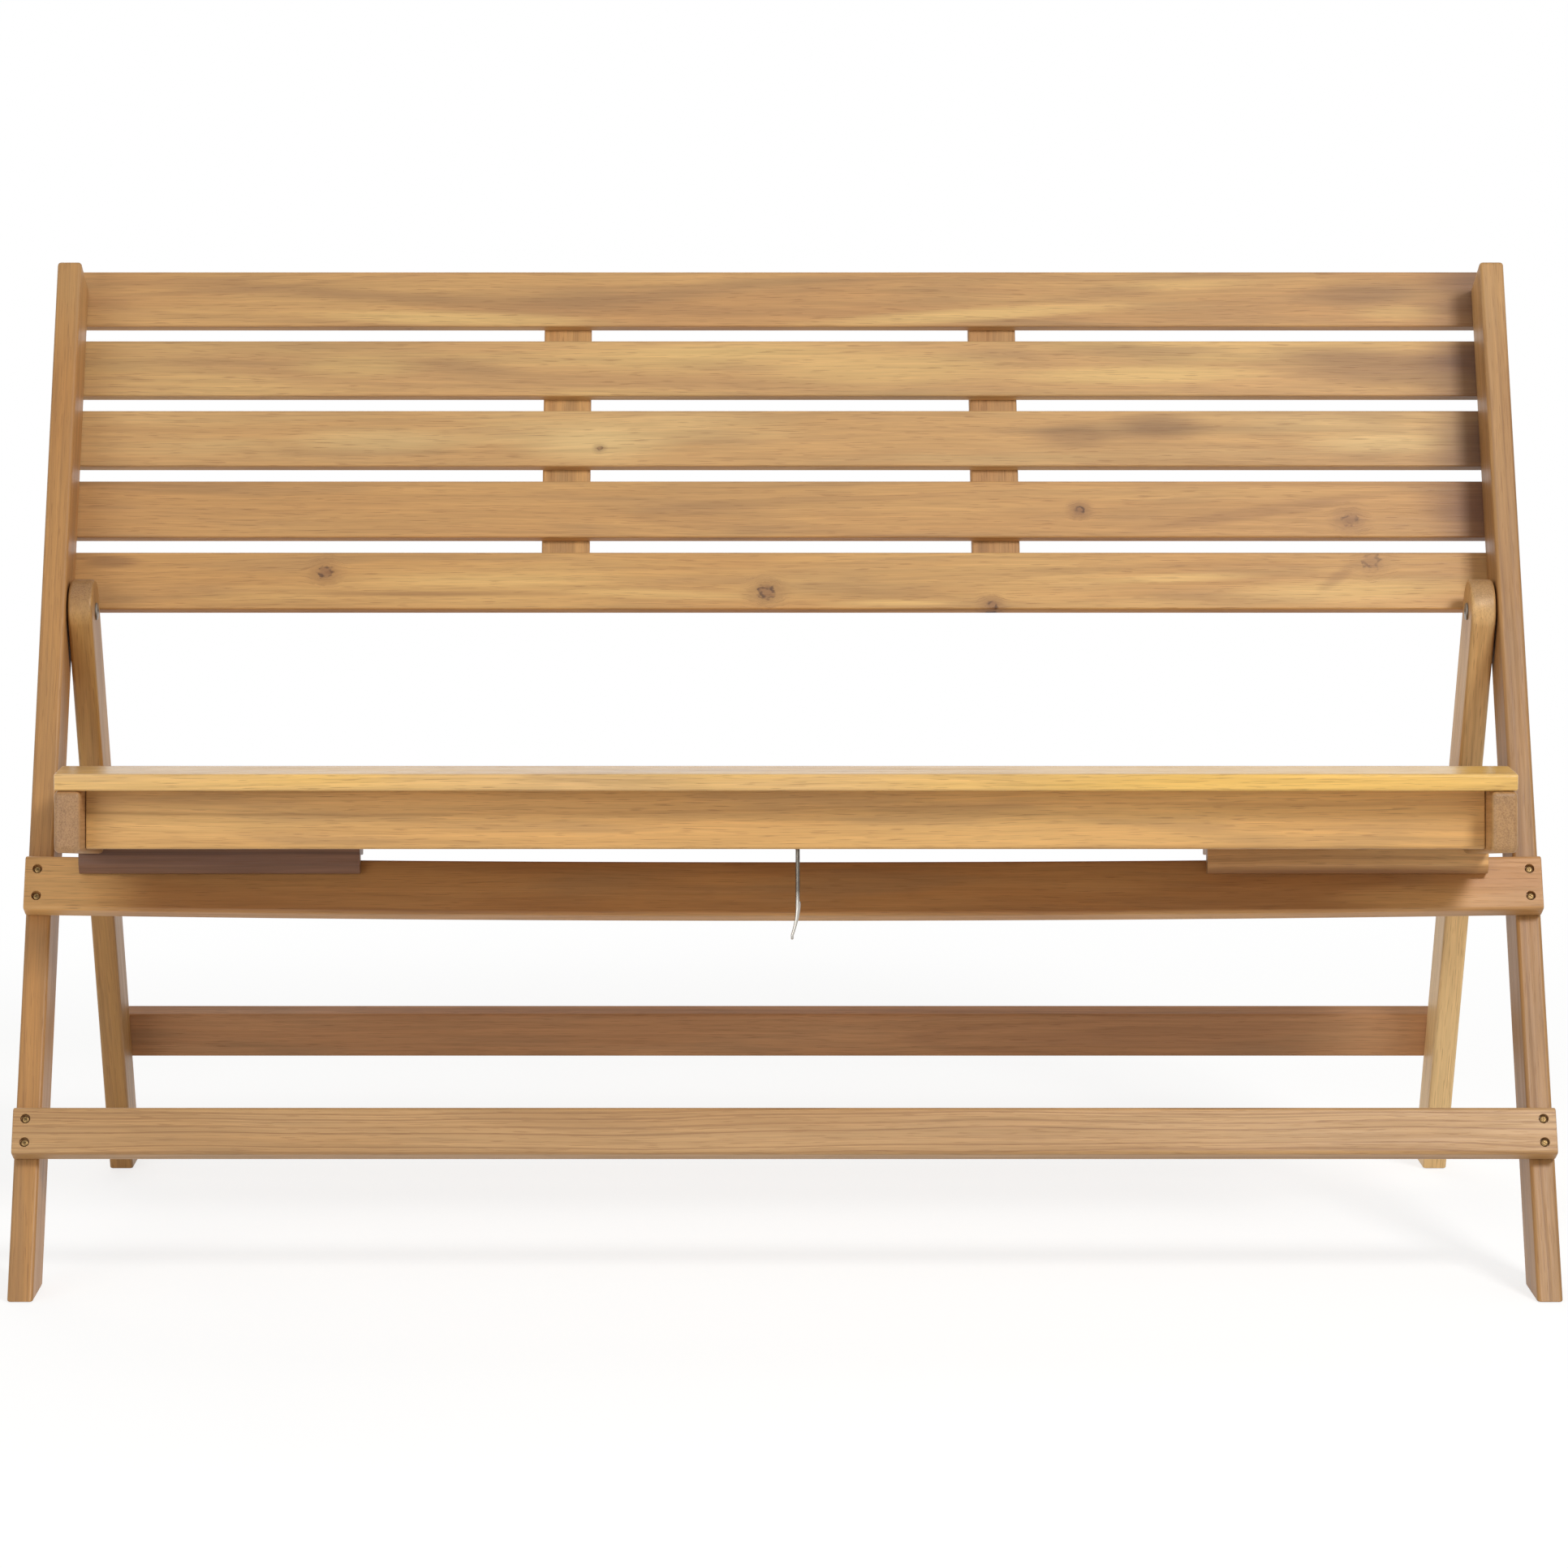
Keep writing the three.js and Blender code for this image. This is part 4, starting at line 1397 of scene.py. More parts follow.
@dataclass
class PostFrame:
    """Front posts, front rails and backrest: the fixed body of the bench."""

    axes: SubFrame
    screws: ScrewBox
    small_screws: ScrewBox
    length: float = 890.0
    depth: float = 54.0
    pivot: Point = (27.0, 587.0)
    slat_width: float = 50.5
    slat_thickness: float = 10.0
    slat_spacing: float = 64.0
    top_slat_top: float = 907.0
    batten_spacing: float = 355.4
    batten_width: float = 39.5
    batten_thickness: float = 15.0
    batten_gap: float = 10.0
    rails: tuple[Rail, ...] = field(default_factory=lambda: (
        Rail("front_rail_lower", "rail_screw_lower", 152, 38, 17, LOWER_RAIL_LOOK, Slot.PALE,
             (37, 20)),
        Rail("front_rail_upper", "rail_screw_upper", 360, 45, 17, UPPER_RAIL_LOOK, Slot.ACACIA,
             (37, 20), sag=5.0),
    ))

    def build(self) -> None:
        """Makes every piece of the post frame."""
        for name, side in SIDES:
            self.post(name, side)
            self.batten(name, side)
        for rail in self.rails:
            inside = -SIZES.gap
            rail.build(self.axes.place(), rail.top, inside - rail.thickness, inside,
                       SIZES.half_width, SIZES.post_middle, self.screws, Body.POSTS)
        for index, look in enumerate(BACK_SLAT_LOOKS):
            self.slat(index, look)

    def slat_top(self, index: int) -> float:
        """The top of a back slat along the posts, counted from the highest."""
        return self.top_slat_top - index * self.slat_spacing

    def post(self, name: str, side: int) -> None:
        """A leaning post, its foot sawn level with the ground.

        Args:
            name: left or right.
            side: -1 or 1.
        """
        foot = self.depth * math.tan(math.radians(-self.axes.lean))
        corners = (Corner(0, 0), Corner(self.length, 0), Corner(self.length, self.depth),
                   Corner(foot, self.depth))
        corners = tuple(Corner(c.along - self.length / 2, c.across - self.depth / 2)
                        for c in corners)
        middle = (side * SIZES.post_middle, self.depth / 2, self.length / 2)
        blank = Blank(f"post_{name}", corners, SIZES.member, middle, Lie.UPRIGHT,
                      soft_ends=(False, True))
        inner = SIZES.half_width - SIZES.member
        cuts = pivot_bores(side, inner, SIZES.half_width, *self.pivot)
        for rail in self.rails:
            for up in pair_heights(rail.top, rail.height):
                cuts.append(Bore((side * SIZES.post_middle, 0, up), "Y",
                                 SIZES.screw_shank + SIZES.gap, -REACH,
                                 SIZES.screw_bite + SIZES.gap))
        piece = blank.build(self.axes.place(), POST_LOOKS[name], cuts)
        finish_piece(piece, Body.POSTS, Slot.ACACIA, blank.node)

    def slat(self, index: int, look: OiledAcacia) -> None:
        """A back slat and the screws that hold it from behind.

        Args:
            index: its number, counted from zero at the top.
            look: its wood.
        """
        top = self.slat_top(index)
        front = self.depth + SIZES.gap
        middle = (0, front + self.slat_thickness / 2, top - self.slat_width / 2)
        blank = Blank(f"back_slat_{index + 1}", rectangle(2 * SIZES.half_width, self.slat_width),
                      self.slat_thickness, middle, Lie.RAIL, arris=1.7)
        back = front + self.slat_thickness
        cuts = []
        for name, side in SIDES:
            x = side * SIZES.post_middle
            for number, up in enumerate(pair_heights(top, self.slat_width), 1):
                self.small_screw(f"slat_screw_{index + 1}_{name}_{number}", x, up, back)
                cuts.append(self.sink(x, up, back))
            batten_back = back + SIZES.gap + self.batten_thickness
            self.small_screw(f"batten_screw_{index + 1}_{name}", side * self.batten_spacing / 2,
                             middle[2], batten_back)
        piece = blank.build(self.axes.place(), look, cuts)
        finish_piece(piece, Body.POSTS, Slot.PALE if index % 2 else Slot.ACACIA, blank.node)

    def small_screw(self, name: str, x: float, up: float, face: float) -> None:
        """Drives a small screw in from behind, its cross turned as its place happens to give.

        Args:
            name: its name.
            x: where across the bench it is.
            up: its height along the posts.
            face: the face that it is driven into.
        """
        twist = (x + 3 * up) % 90
        head = facing(self.axes.place(), (x, face - SIZES.gap, up), (0, 1, 0), twist)
        screw = self.small_screws.take(f"{name}_turned", head)
        finish_piece(screw, Body.POSTS, Slot.BRASS)

    def sink(self, x: float, up: float, face: float) -> Bore:
        """The sink for a small screw's head in a face at the back.

        Args:
            x: where across the bench it is.
            up: its height along the posts.
            face: the face.

        Returns:
            The bore.
        """
        pattern = self.small_screws.pattern
        bottom = face - SIZES.gap - pattern.head_thickness
        return Bore((x, 0, up), "Y", pattern.head_radius + SIZES.gap, bottom, face + REACH,
                    SINK_SIDES)

    def batten(self, name: str, side: int) -> None:
        """An upright batten behind the back slats.

        Args:
            name: left or right.
            side: -1 or 1.
        """
        count = len(BACK_SLAT_LOOKS)
        low = self.slat_top(count - 1) - self.slat_width + self.batten_gap
        high = self.top_slat_top - self.batten_gap
        front = self.depth + self.slat_thickness + 2 * SIZES.gap
        back = front + self.batten_thickness
        x = side * self.batten_spacing / 2
        middle = (x, (front + back) / 2, (low + high) / 2)
        blank = Blank(f"back_batten_{name}", rectangle(high - low, self.batten_width),
                      self.batten_thickness, middle, Lie.BATTEN, arris=2.0)
        cuts = [self.sink(x, self.slat_top(i) - self.slat_width / 2, back) for i in range(count)]
        piece = blank.build(self.axes.place(), BATTEN_LOOKS[name], cuts)
        finish_piece(piece, Body.POSTS, Slot.ACACIA, blank.node)


@dataclass(frozen=True)
class PivotSet:
    """A sleeve nut with a flat head, a cap screw and a spacer washer, along one side's X."""

    sleeve: float = 4.0
    bore: float = 2.9
    head: float = 7.0
    head_thickness: float = 1.5
    cap_thickness: float = 2.2
    cap_shank: float = 2.4
    cap_length: float = 14.0
    washer: float = 9.0
    washer_ease: float = 0.3
    key: float = 2.3
    key_depth: float = 0.9
    head_ease: tuple[Point, ...] = ((1.6, 0.0), (0.5, 0.25), (0.0, 0.75))
    cap_ease: float = 0.5
    sides: int = 56
    key_sides: int = 6

    def build(self, name: str, side_name: str, side: int, inner: Point, outer: Point, axis: Matrix,
              body: Body) -> None:
        """Makes the three pieces.

        Args:
            name: what the nodes' names start with.
            side_name: left or right.
            side: -1 or 1.
            inner: the inner member's inner and outer faces.
            outer: the outer member's inner and outer faces.
            axis: the pivot's place, in metres.
            body: what they ride on.
        """
        gap = SIZES.gap
        head_back = inner[0] - gap
        sleeve_end = outer[1] - SIZES.cap_sink_depth - gap
        cap_out = outer[1] - gap
        cap_in = cap_out - self.cap_thickness
        bore_end = sleeve_end - self.cap_length - gap
        head_out = head_back - self.head_thickness
        outward = axis @ Matrix.Rotation(side * math.pi / 2, 4, "Y")
        sleeve = [(0, head_out),
                  *((self.head - inset, head_out + drop) for inset, drop in self.head_ease),
                  (self.head, head_back), (self.sleeve, head_back), (self.sleeve, sleeve_end),
                  (self.bore, sleeve_end), (self.bore, bore_end), (0, bore_end)]
        cap = [(0, cap_in - self.cap_length), (self.cap_shank, cap_in - self.cap_length),
               (self.cap_shank, cap_in), (self.head, cap_in), (self.head, cap_out - self.cap_ease),
               (self.head - self.cap_ease, cap_out), (0, cap_out)]
        low, high = inner[1] + gap, outer[0] - gap
        ease = min(self.washer_ease, (high - low) / 3)
        ring = [(self.sleeve + gap, low), (self.washer - ease, low), (self.washer, low + ease),
                (self.washer, high - ease), (self.washer - ease, high), (self.sleeve + gap, high)]
        for part, profile, face, out in (("sleeve", sleeve, head_out, -1),
                                         ("screw", cap, cap_out, 1)):
            node = f"{name}_{part}_{side_name}"
            piece = to_object(f"{node}_turned", turned(profile, self.sides), outward)
            reach = sorted((face - out * self.key_depth, face + out * REACH))
            cut_out(piece, (Bore((0, 0, 0), "Z", self.key, *reach, self.key_sides),), outward)
            ZINC_PLATE.dress(piece)
            finish_piece(piece, body, Slot.ZINC, node)
        node = f"{name}_washer_{side_name}"
        shape = turned(ring + ring[:1], self.sides)
        bmesh.ops.remove_doubles(shape, verts=shape.verts, dist=SAME_SPOT)
        bmesh.ops.recalc_face_normals(shape, faces=shape.faces)
        washer = to_object(f"{node}_turned", shape, outward)
        ZINC_PLATE.dress(washer)
        finish_piece(washer, body, Slot.ZINC, node)


LEG_LOOKS = {
    "left": OiledAcacia(71, "#B6864A", "#CFA35F", "#875A31", 0.5, 0.35, 4.5, (3, -24), 0.6,
                        patches=(Patch(250, 0, 120, 40, 0.55, 0, True),)),
    "right": OiledAcacia(73, "#D9AC6F", "#F0CB90", "#A97843", 0.4, 0.3, 4.5, (-4, -26), 0.6,
                         patches=(Patch(-190, 0, 300, 60, 0.9),
                                  Patch(280, 0, 60, 40, 0.35, 0, True))),
}
REAR_RAIL_LOOK = OiledAcacia(79, "#B98558", "#D3A070", "#8E6040", 0.3, 0.3, 5.0, (10, -46), 0.5,
                             patches=(Patch(560, 0, 140, 60, 0.7),), roughness=0.6)


@dataclass
class RearLegFrame:
    """Rear legs, their pivots on the posts and the rail across their backs."""

    axes: SubFrame
    screws: ScrewBox
    pivots: PivotSet
    seat_pivot_drop: float
    depth: float = 52.0
    top_steps: int = 28
    rail: Rail = field(default_factory=lambda: Rail(
        "rear_rail", "rear_screw", 125.0, 44, 16.5, REAR_RAIL_LOOK, Slot.PALE, (50, -15)))

    def build(self) -> None:
        """Makes every piece of the rear-leg frame."""
        inner = (SIZES.leg_outer - SIZES.member, SIZES.leg_outer)
        outer = (SIZES.half_width - SIZES.member, SIZES.half_width)
        for name, side in SIDES:
            self.leg(name, side)
            self.pivots.build("leg_pivot", name, side, inner, outer, self.axes.place(), Body.LEGS)
        inside = self.depth / 2 + SIZES.gap
        self.rail.build(self.axes.place(), self.rail_top(), inside + self.rail.thickness, inside,
                        SIZES.leg_outer, self.middle_x, self.screws, Body.LEGS)

    def ground(self, back: float) -> float:
        """How far below the pivot the ground is, along the leg, at a depth across it."""
        lean = math.radians(self.axes.lean)
        return -(self.axes.up + back * math.sin(lean)) / math.cos(lean)

    @property
    def middle_x(self) -> float:
        """The middle of a leg's thickness."""
        return SIZES.leg_outer - SIZES.member / 2

    def rail_top(self) -> float:
        """The rear rail's top along the leg, from the pivot; the rail's own is from the ground."""
        return self.ground(-self.depth / 2) + self.rail.top

    def leg(self, name: str, side: int) -> None:
        """A leg with a round top and a foot sawn level with the ground.

        Args:
            name: left or right.
            side: -1 or 1.
        """
        half = self.depth / 2
        low = min(self.ground(half), self.ground(-half))
        middle_up = (low + half) / 2
        angles = [math.pi * i / self.top_steps for i in range(self.top_steps + 1)]
        arc = [Corner(half * math.sin(a), -half * math.cos(a)) for a in angles]
        corners = [Corner(self.ground(-half), -half), *arc, Corner(self.ground(half), half)]
        corners = tuple(Corner(c.along - middle_up, c.across) for c in corners)
        x = side * self.middle_x
        blank = Blank(f"rear_leg_{name}", corners, SIZES.member, (x, 0, middle_up), Lie.UPRIGHT,
                      soft_ends=(False, True))
        inner = SIZES.leg_outer - SIZES.member
        cuts = [Bore((0, 0, 0), "X", SIZES.sleeve + SIZES.gap,
                     *span(side, inner - REACH, SIZES.leg_outer + REACH))]
        cuts += pivot_bores(side, inner, SIZES.leg_outer, 0, -self.seat_pivot_drop)
        for up in pair_heights(self.rail_top(), self.rail.height):
            cuts.append(Bore((x, 0, up), "Y", SIZES.screw_shank + SIZES.gap,
                             half - SIZES.screw_bite - SIZES.gap, half + REACH))
        piece = blank.build(self.axes.place(), LEG_LOOKS[name], cuts)
        finish_piece(piece, Body.LEGS, Slot.ACACIA, blank.node)


@dataclass
class Lock:
    """A bent wire hook on a screw eye behind the apron.

    Its lengths are in the seat's axes. The bar is the height of the lowest wire of the eye's
    ring, about which the hook swings, and the plane is how far back that wire is.
    """

    axes: SubFrame
    side: float = 9.7
    plane: float = -336.7
    bar: float = -32.315
    wire: float = 1.6
    loop: float = 4.2
    reach: float = 74.0
    tip: float = 24.0
    tip_side: float = -4.2
    bend: float = 2.4
    return_length: float = 26.0
    taper: float = 0.35
    gap: float = 0.6
    loop_open: float = 50.0
    end_shares: tuple[float, ...] = (0.62, 0.86, 0.97)
    eye_ring: float = 4.0
    eye_wire: float = 1.3
    eye_shank: float = 12.0
    eye_point: float = 0.4
    standoff: float = 6.3
    loop_steps: int = 36
    shank_steps: int = 60
    bend_steps: int = 16
    return_steps: int = 20
    eye_steps: int = 40
    eye_shank_steps: int = 6
    wire_sides: int = 24
    eye_sides: int = 20

    def build(self) -> None:
        """Makes the hook and its eye."""
        self.hook()
        self.eye()

    def line(self) -> list[tuple[Vector, float]]:
        """The hook's middle line, and its share of the wire's radius at each point.

        Returns:
            Points from the open loop round the eye, down the shank to the tip that turns back up.
        """
        middle = -(self.loop - self.wire - self.eye_wire - self.gap)
        opening = math.radians(self.loop_open)
        line = []
        for step in range(self.loop_steps):
            angle = (-math.pi / 2 + opening
                     + (2 * math.pi - opening) * step / self.loop_steps)
            spot = Vector((math.cos(angle) * self.loop, 0, middle + math.sin(angle) * self.loop))
            line.append((spot, 1.0))
        shank = self.reach - self.loop - self.bend
        for step in range(self.shank_steps):
            down = shank * step / self.shank_steps
            tip = max(0.0, down + self.tip - shank) / self.tip
            spot = Vector((self.tip_side * tip * tip, 0, middle - self.loop - down))
            line.append((spot, 1 - self.taper * tip))
        low = middle - self.loop - shank
        thin = 1 - self.taper
        for step in range(self.bend_steps):
            angle = math.pi * step / self.bend_steps
            spot = Vector((self.tip_side, self.bend * (1 - math.cos(angle)),
                           low - self.bend * math.sin(angle)))
            line.append((spot, thin))
        for step in range(self.return_steps + 1):
            share = step / self.return_steps
            side = self.tip_side * (1 - share) ** 2 + self.wire * share
            line.append((Vector((side, 2 * self.bend, low + self.return_length * share)), thin))
        return line

    def hole(self, back: float) -> Bore:
        """The eye's hole in the apron, whose back is at a depth in the seat's axes."""
        return Bore((self.side, 0, self.bar + self.eye_ring), "Y", self.eye_wire + SIZES.gap,
                    back - self.eye_shank - SIZES.gap, back + REACH, EYE_HOLE_SIDES)

    def hook(self) -> None:
        """The bent wire, its two ends rounded."""
        line = self.line()
        radii = [self.wire * share for _, share in line]
        for step, share in enumerate(self.end_shares):
            radii[step] *= share
            radii[-1 - step] *= share
        spot = Vector((self.side, self.plane, self.bar)) * MM
        shape = swept([spot for spot, _ in line], radii, self.wire_sides)
        piece = to_object("lock_hook_bent", shape, self.axes.place() @ Matrix.Translation(spot))
        WIRE_ZINC_WITH_PAINTED_HIGHLIGHT.dress(piece)
        finish_piece(piece, Body.HOOK, Slot.ZINC, "lock_hook")

    def eye(self) -> None:
        """A screw eye: a ring of wire and the shank that goes into the apron."""
        angles = [math.pi + 2 * math.pi * i / self.eye_steps for i in range(self.eye_steps)]
        ring = [Vector((0, math.cos(a) * self.eye_ring, math.sin(a) * self.eye_ring))
                for a in angles]
        shape = swept(ring, [self.eye_wire] * self.eye_steps, self.eye_sides, closed=True)
        length = self.standoff - self.eye_ring + self.eye_shank
        start = Vector((0, -self.eye_ring - length, 0))
        steps = self.eye_shank_steps
        shank = [start + Vector((0, length * i / steps, 0)) for i in range(steps + 1)]
        rod = swept(shank, [self.eye_point, *[self.eye_wire] * steps], self.eye_sides)
        mesh = bpy.data.meshes.new("shank")
        rod.to_mesh(mesh)
        rod.free()
        shape.from_mesh(mesh)
        bpy.data.meshes.remove(mesh)
        spot = Vector((self.side, self.plane, self.bar + self.eye_ring)) * MM
        piece = to_object("lock_eye_bent", shape, self.axes.place() @ Matrix.Translation(spot))
        WIRE_ZINC_WITH_PAINTED_HIGHLIGHT.dress(piece)
        finish_piece(piece, Body.SEAT, Slot.ZINC, "lock_eye")


SEAT_RAIL_LOOKS = {
    "left": OiledAcacia(83, "#B6895B", "#C49A6A", "#8A6240", 0.4, 0.35, 4.5, (5, -30), 0.5),
    "right": OiledAcacia(89, "#BC8E58", "#CCA067", "#8F6339", 0.45, 0.35, 4.5, (-7, -32), 0.5),
}
CLEAT_LOOKS = {
    "left": OiledAcacia(97, "#7C5640", "#93694C", "#573A2B", 0.4, 0.6, 3.0, (-30, -30), 0.5,
                        bloom=0.1),
    # Its pale patch at the outer end is painted light, and its dark strip along the bevel is
    # painted shade.
    # The right cleat's tones are paler than the wood, painted light that makes up for the seat's
    # shade.
    "right": OiledAcacia(101, "#DFA766", "#F2C484", "#8E5E32", 0.5, 0.4, 3.5, (-30, -30), 0.5,
                         patches=(Patch(80, 0, 45, 30, 0.9), Patch(0, -15, 300, 7, 1.0, 0, True)),
                         bloom=0.1),
}
SEAT_BATTEN_LOOK = OiledAcacia(103, "#B98A55", "#CBA067", "#8B5F36", 0.4, 0.35, 4.5, (8, -36), 0.5)
APRON_LOOK = OiledAcacia(107, "#D5A463", "#E1B671", "#AA7942", 0.4, 0.4, 3.6, (-40, -42), 0.35)
FRONT_SLAT_LOOK = OiledAcacia(109, "#E3B779", "#EFBF5E", "#B3834A", 0.5, 0.35, 4.5, (10, -30), 0.5,
                              patches=(Patch(380, 0, 380, 60, 0.85), Patch(-380, 0, 200, 60, 0.3)),
                              roughness=0.22)
# The other seat slats: heart, sap and streak tones and the shares of sap and streak
SEAT_TONES = (("#CBA064", "#E0B978", "#99703F", 0.5, 0.3),
              ("#C4965B", "#D8AE70", "#8F653B", 0.4, 0.4),
              ("#BA8A52", "#CFA468", "#86592F", 0.35, 0.3))
SEAT_KNOTS = {2: (Knot(210, 8, 4.5),), 4: (Knot(-330, -10, 3.8), Knot(120, 14, 3.0)),
              6: (Knot(420, 3, 4.2),)}
SEAT_SLAT_ROUGHNESS = 0.3
# From slat to slat the seed goes up by a step, and the pith moves across by one in millimetres
SEAT_SEED, SEED_STEP = 120, 7
SEAT_PITH, PITH_STEP = (12, -30), 5


def seat_slat_look(index: int) -> OiledAcacia:
    """Chooses the wood of a seat slat.

    Args:
        index: its number, counted from zero at the front.

    Returns:
        Its look.
    """
    if index == 0:
        return FRONT_SLAT_LOOK
    pith = (SEAT_PITH[0] - PITH_STEP * index, SEAT_PITH[1])
    return OiledAcacia(SEAT_SEED + SEED_STEP * index, *SEAT_TONES[index % len(SEAT_TONES)],
                       pith=pith, knots=SEAT_KNOTS.get(index, ()),
                       roughness=SEAT_SLAT_ROUGHNESS)


@dataclass
class Seat:
    """Side rails, cleats, apron, slats and battens of the seat, and its pivots on the rear legs."""

    axes: SubFrame
    pivots: PivotSet
    lock: Lock
    front: float = -393.0
    rear: float = 30.0
    rail_top: float = 12.6
    rail_height: float = 54.1
    rear_ease: float = 24.0
    front_ease: float = 6.5
    slat_width: float = 50.5
    slat_thickness: float = 13.0
    slat_spacing: float = 62.0833
    slat_count: int = 7
    apron_front: float = -360.0
    apron_thickness: float = 17.0
    apron_height: float = 48.0
    apron_top: float = 9.684
    cleat_front: float = -239.098
    cleat_back: float = -198.998
    cleat_top: float = -34.3
    cleat_length: float = 222.0
    lip_thickness: float = 12.0
    tongue: float = 8.0
    lip_drop: float = 15.0
    bevel: Point = (5.0, 7.0)
    batten_thickness: float = 20.0
    batten_gap: float = 12.0

    def build(self) -> None:
        """Makes every wooden piece of the seat and its pivots."""
        inner = (SIZES.seat_outer - SIZES.member, SIZES.seat_outer)
        outer = (SIZES.leg_outer - SIZES.member, SIZES.leg_outer)
        for name, side in SIDES:
            self.side_rail(name, side)
            self.cleat(name, side)
            self.batten(name, side)
            self.pivots.build("seat_pivot", name, side, inner, outer, self.axes.place(), Body.SEAT)
        self.apron()
        for index in range(self.slat_count):
            self.slat(index)

    def side_rail(self, name: str, side: int) -> None:
        """A side rail, its front top sloped so that the front slat lies level.

        Args:
            name: left or right.
            side: -1 or 1.
        """
        under = self.rail_top - self.rail_height
        drop = self.slat_width * math.tan(math.radians(-self.axes.lean))
        mid_back, mid_up = (self.front + self.rear) / 2, (self.rail_top + under) / 2
        corners = (Corner(self.front, under, self.front_ease),
                   Corner(self.rear, under, self.rear_ease), Corner(self.rear, self.rail_top),
                   Corner(self.front + self.slat_width, self.rail_top),
                   Corner(self.front, self.rail_top - drop))
        corners = tuple(Corner(c.along - mid_back, c.across - mid_up, c.ease) for c in corners)
        x = side * (SIZES.seat_outer - SIZES.member / 2)
        blank = Blank(f"seat_rail_{name}", corners, SIZES.member, (x, mid_back, mid_up),
                      Lie.FORE_AND_AFT, arris=3.8, soft_ends=(True, True))
        through = span(side, SIZES.seat_outer - SIZES.member - REACH, SIZES.seat_outer + REACH)
        gap = SIZES.gap
        cuts = [Bore((0, 0, 0), "X", SIZES.sleeve + gap, *through),
                Notch((through[0], self.cleat_front - gap, under - REACH),
                      (through[1], self.cleat_back + gap, self.cleat_top + gap))]
        piece = blank.build(self.axes.place(), SEAT_RAIL_LOOKS[name], cuts)
        finish_piece(piece, Body.SEAT, Slot.ACACIA, blank.node)

    def cleat(self, name: str, side: int) -> None:
        """A cleat under the seat, its front lip bevelled along the lower edge.

        Args:
            name: left or right.
            side: -1 or 1.
        """
        front, lip = self.cleat_front, self.cleat_front + self.lip_thickness
        tongue = self.cleat_top - self.tongue
        low = tongue - self.lip_drop
        mid_back, mid_up = (front + self.cleat_back) / 2, (self.cleat_top + low) / 2
        corners = (Corner(front + self.bevel[0], low), Corner(lip, low), Corner(lip, tongue),
                   Corner(self.cleat_back, tongue), Corner(self.cleat_back, self.cleat_top),
                   Corner(front, self.cleat_top), Corner(front, low + self.bevel[1]))
        corners = tuple(Corner(c.along - mid_back, c.across - mid_up) for c in corners)
        x = side * (SIZES.seat_outer - self.cleat_length / 2)
        blank = Blank(f"seat_cleat_{name}", corners, self.cleat_length, (x, mid_back, mid_up),
                      Lie.FLAT, arris=0.9, end_arris=0.9, moulded=True)
        piece = blank.build(self.axes.place(), CLEAT_LOOKS[name])
        finish_piece(piece, Body.SEAT, Slot.DARK if side < 0 else Slot.ACACIA, blank.node)

    def batten(self, name: str, side: int) -> None:
        """An inner batten that the slats also lie on.

        Args:
            name: left or right.
            side: -1 or 1.
        """
        low, high = self.cleat_top + SIZES.gap, self.rail_top
        front = self.apron_front + self.apron_thickness + SIZES.gap
        back = self.rear - self.batten_gap
        x = side * (SIZES.seat_outer - self.cleat_length + self.batten_thickness / 2)
        blank = Blank(f"seat_batten_{name}", rectangle(back - front, high - low),
                      self.batten_thickness, (x, (front + back) / 2, (low + high) / 2),
                      Lie.FORE_AND_AFT, arris=2.0)
        piece = blank.build(self.axes.place(), SEAT_BATTEN_LOOK)
        finish_piece(piece, Body.SEAT, Slot.ACACIA, blank.node)

    def apron(self) -> None:
        """The apron between the side rails, drilled for the lock's eye."""
        half = SIZES.seat_outer - SIZES.member - SIZES.gap
        middle = (0, self.apron_front + self.apron_thickness / 2,
                  self.apron_top - self.apron_height / 2)
        blank = Blank("seat_apron", rectangle(2 * half, self.apron_height), self.apron_thickness,
                      middle, Lie.RAIL, arris=2.5)
        hole = self.lock.hole(self.apron_front + self.apron_thickness)
        piece = blank.build(self.axes.place(), APRON_LOOK, [hole])
        finish_piece(piece, Body.SEAT, Slot.PALE, blank.node)

    def slat(self, index: int) -> None:
        """A seat slat; the front one lies level.

        Args:
            index: its number, counted from zero at the front.
        """
        front = self.front + index * self.slat_spacing
        bottom = self.rail_top + SIZES.gap
        place = self.axes.place()
        width = self.slat_width
        node = f"seat_slat_{index + 1}"
        if index == 0:
            slope = math.radians(-self.axes.lean)
            width = self.slat_width / math.cos(slope)
            hinge = Vector((0, front + self.slat_width, bottom)) * MM
            place = place @ Matrix.Translation(hinge) @ Matrix.Rotation(slope, 4, "X")
            middle = (0, -width / 2, self.slat_thickness / 2)
        else:
            middle = (0, front + width / 2, bottom + self.slat_thickness / 2)
        blank = Blank(node, rectangle(2 * SIZES.seat_outer, width), self.slat_thickness, middle,
                      Lie.FLAT, arris=2.5)
        piece = blank.build(place, seat_slat_look(index))
        finish_piece(piece, Body.SEAT, Slot.PALE if index % 2 else Slot.ACACIA, node)


# Studio


@dataclass(frozen=True)
class Lamp:
    """A soft rectangular lamp: where it stands, what it points at, its size and its watts."""

    name: str
    at: Point3
    target: Point3
    size: Point
    watts: float


WHITE = (1.0, 1.0, 1.0, 1.0)


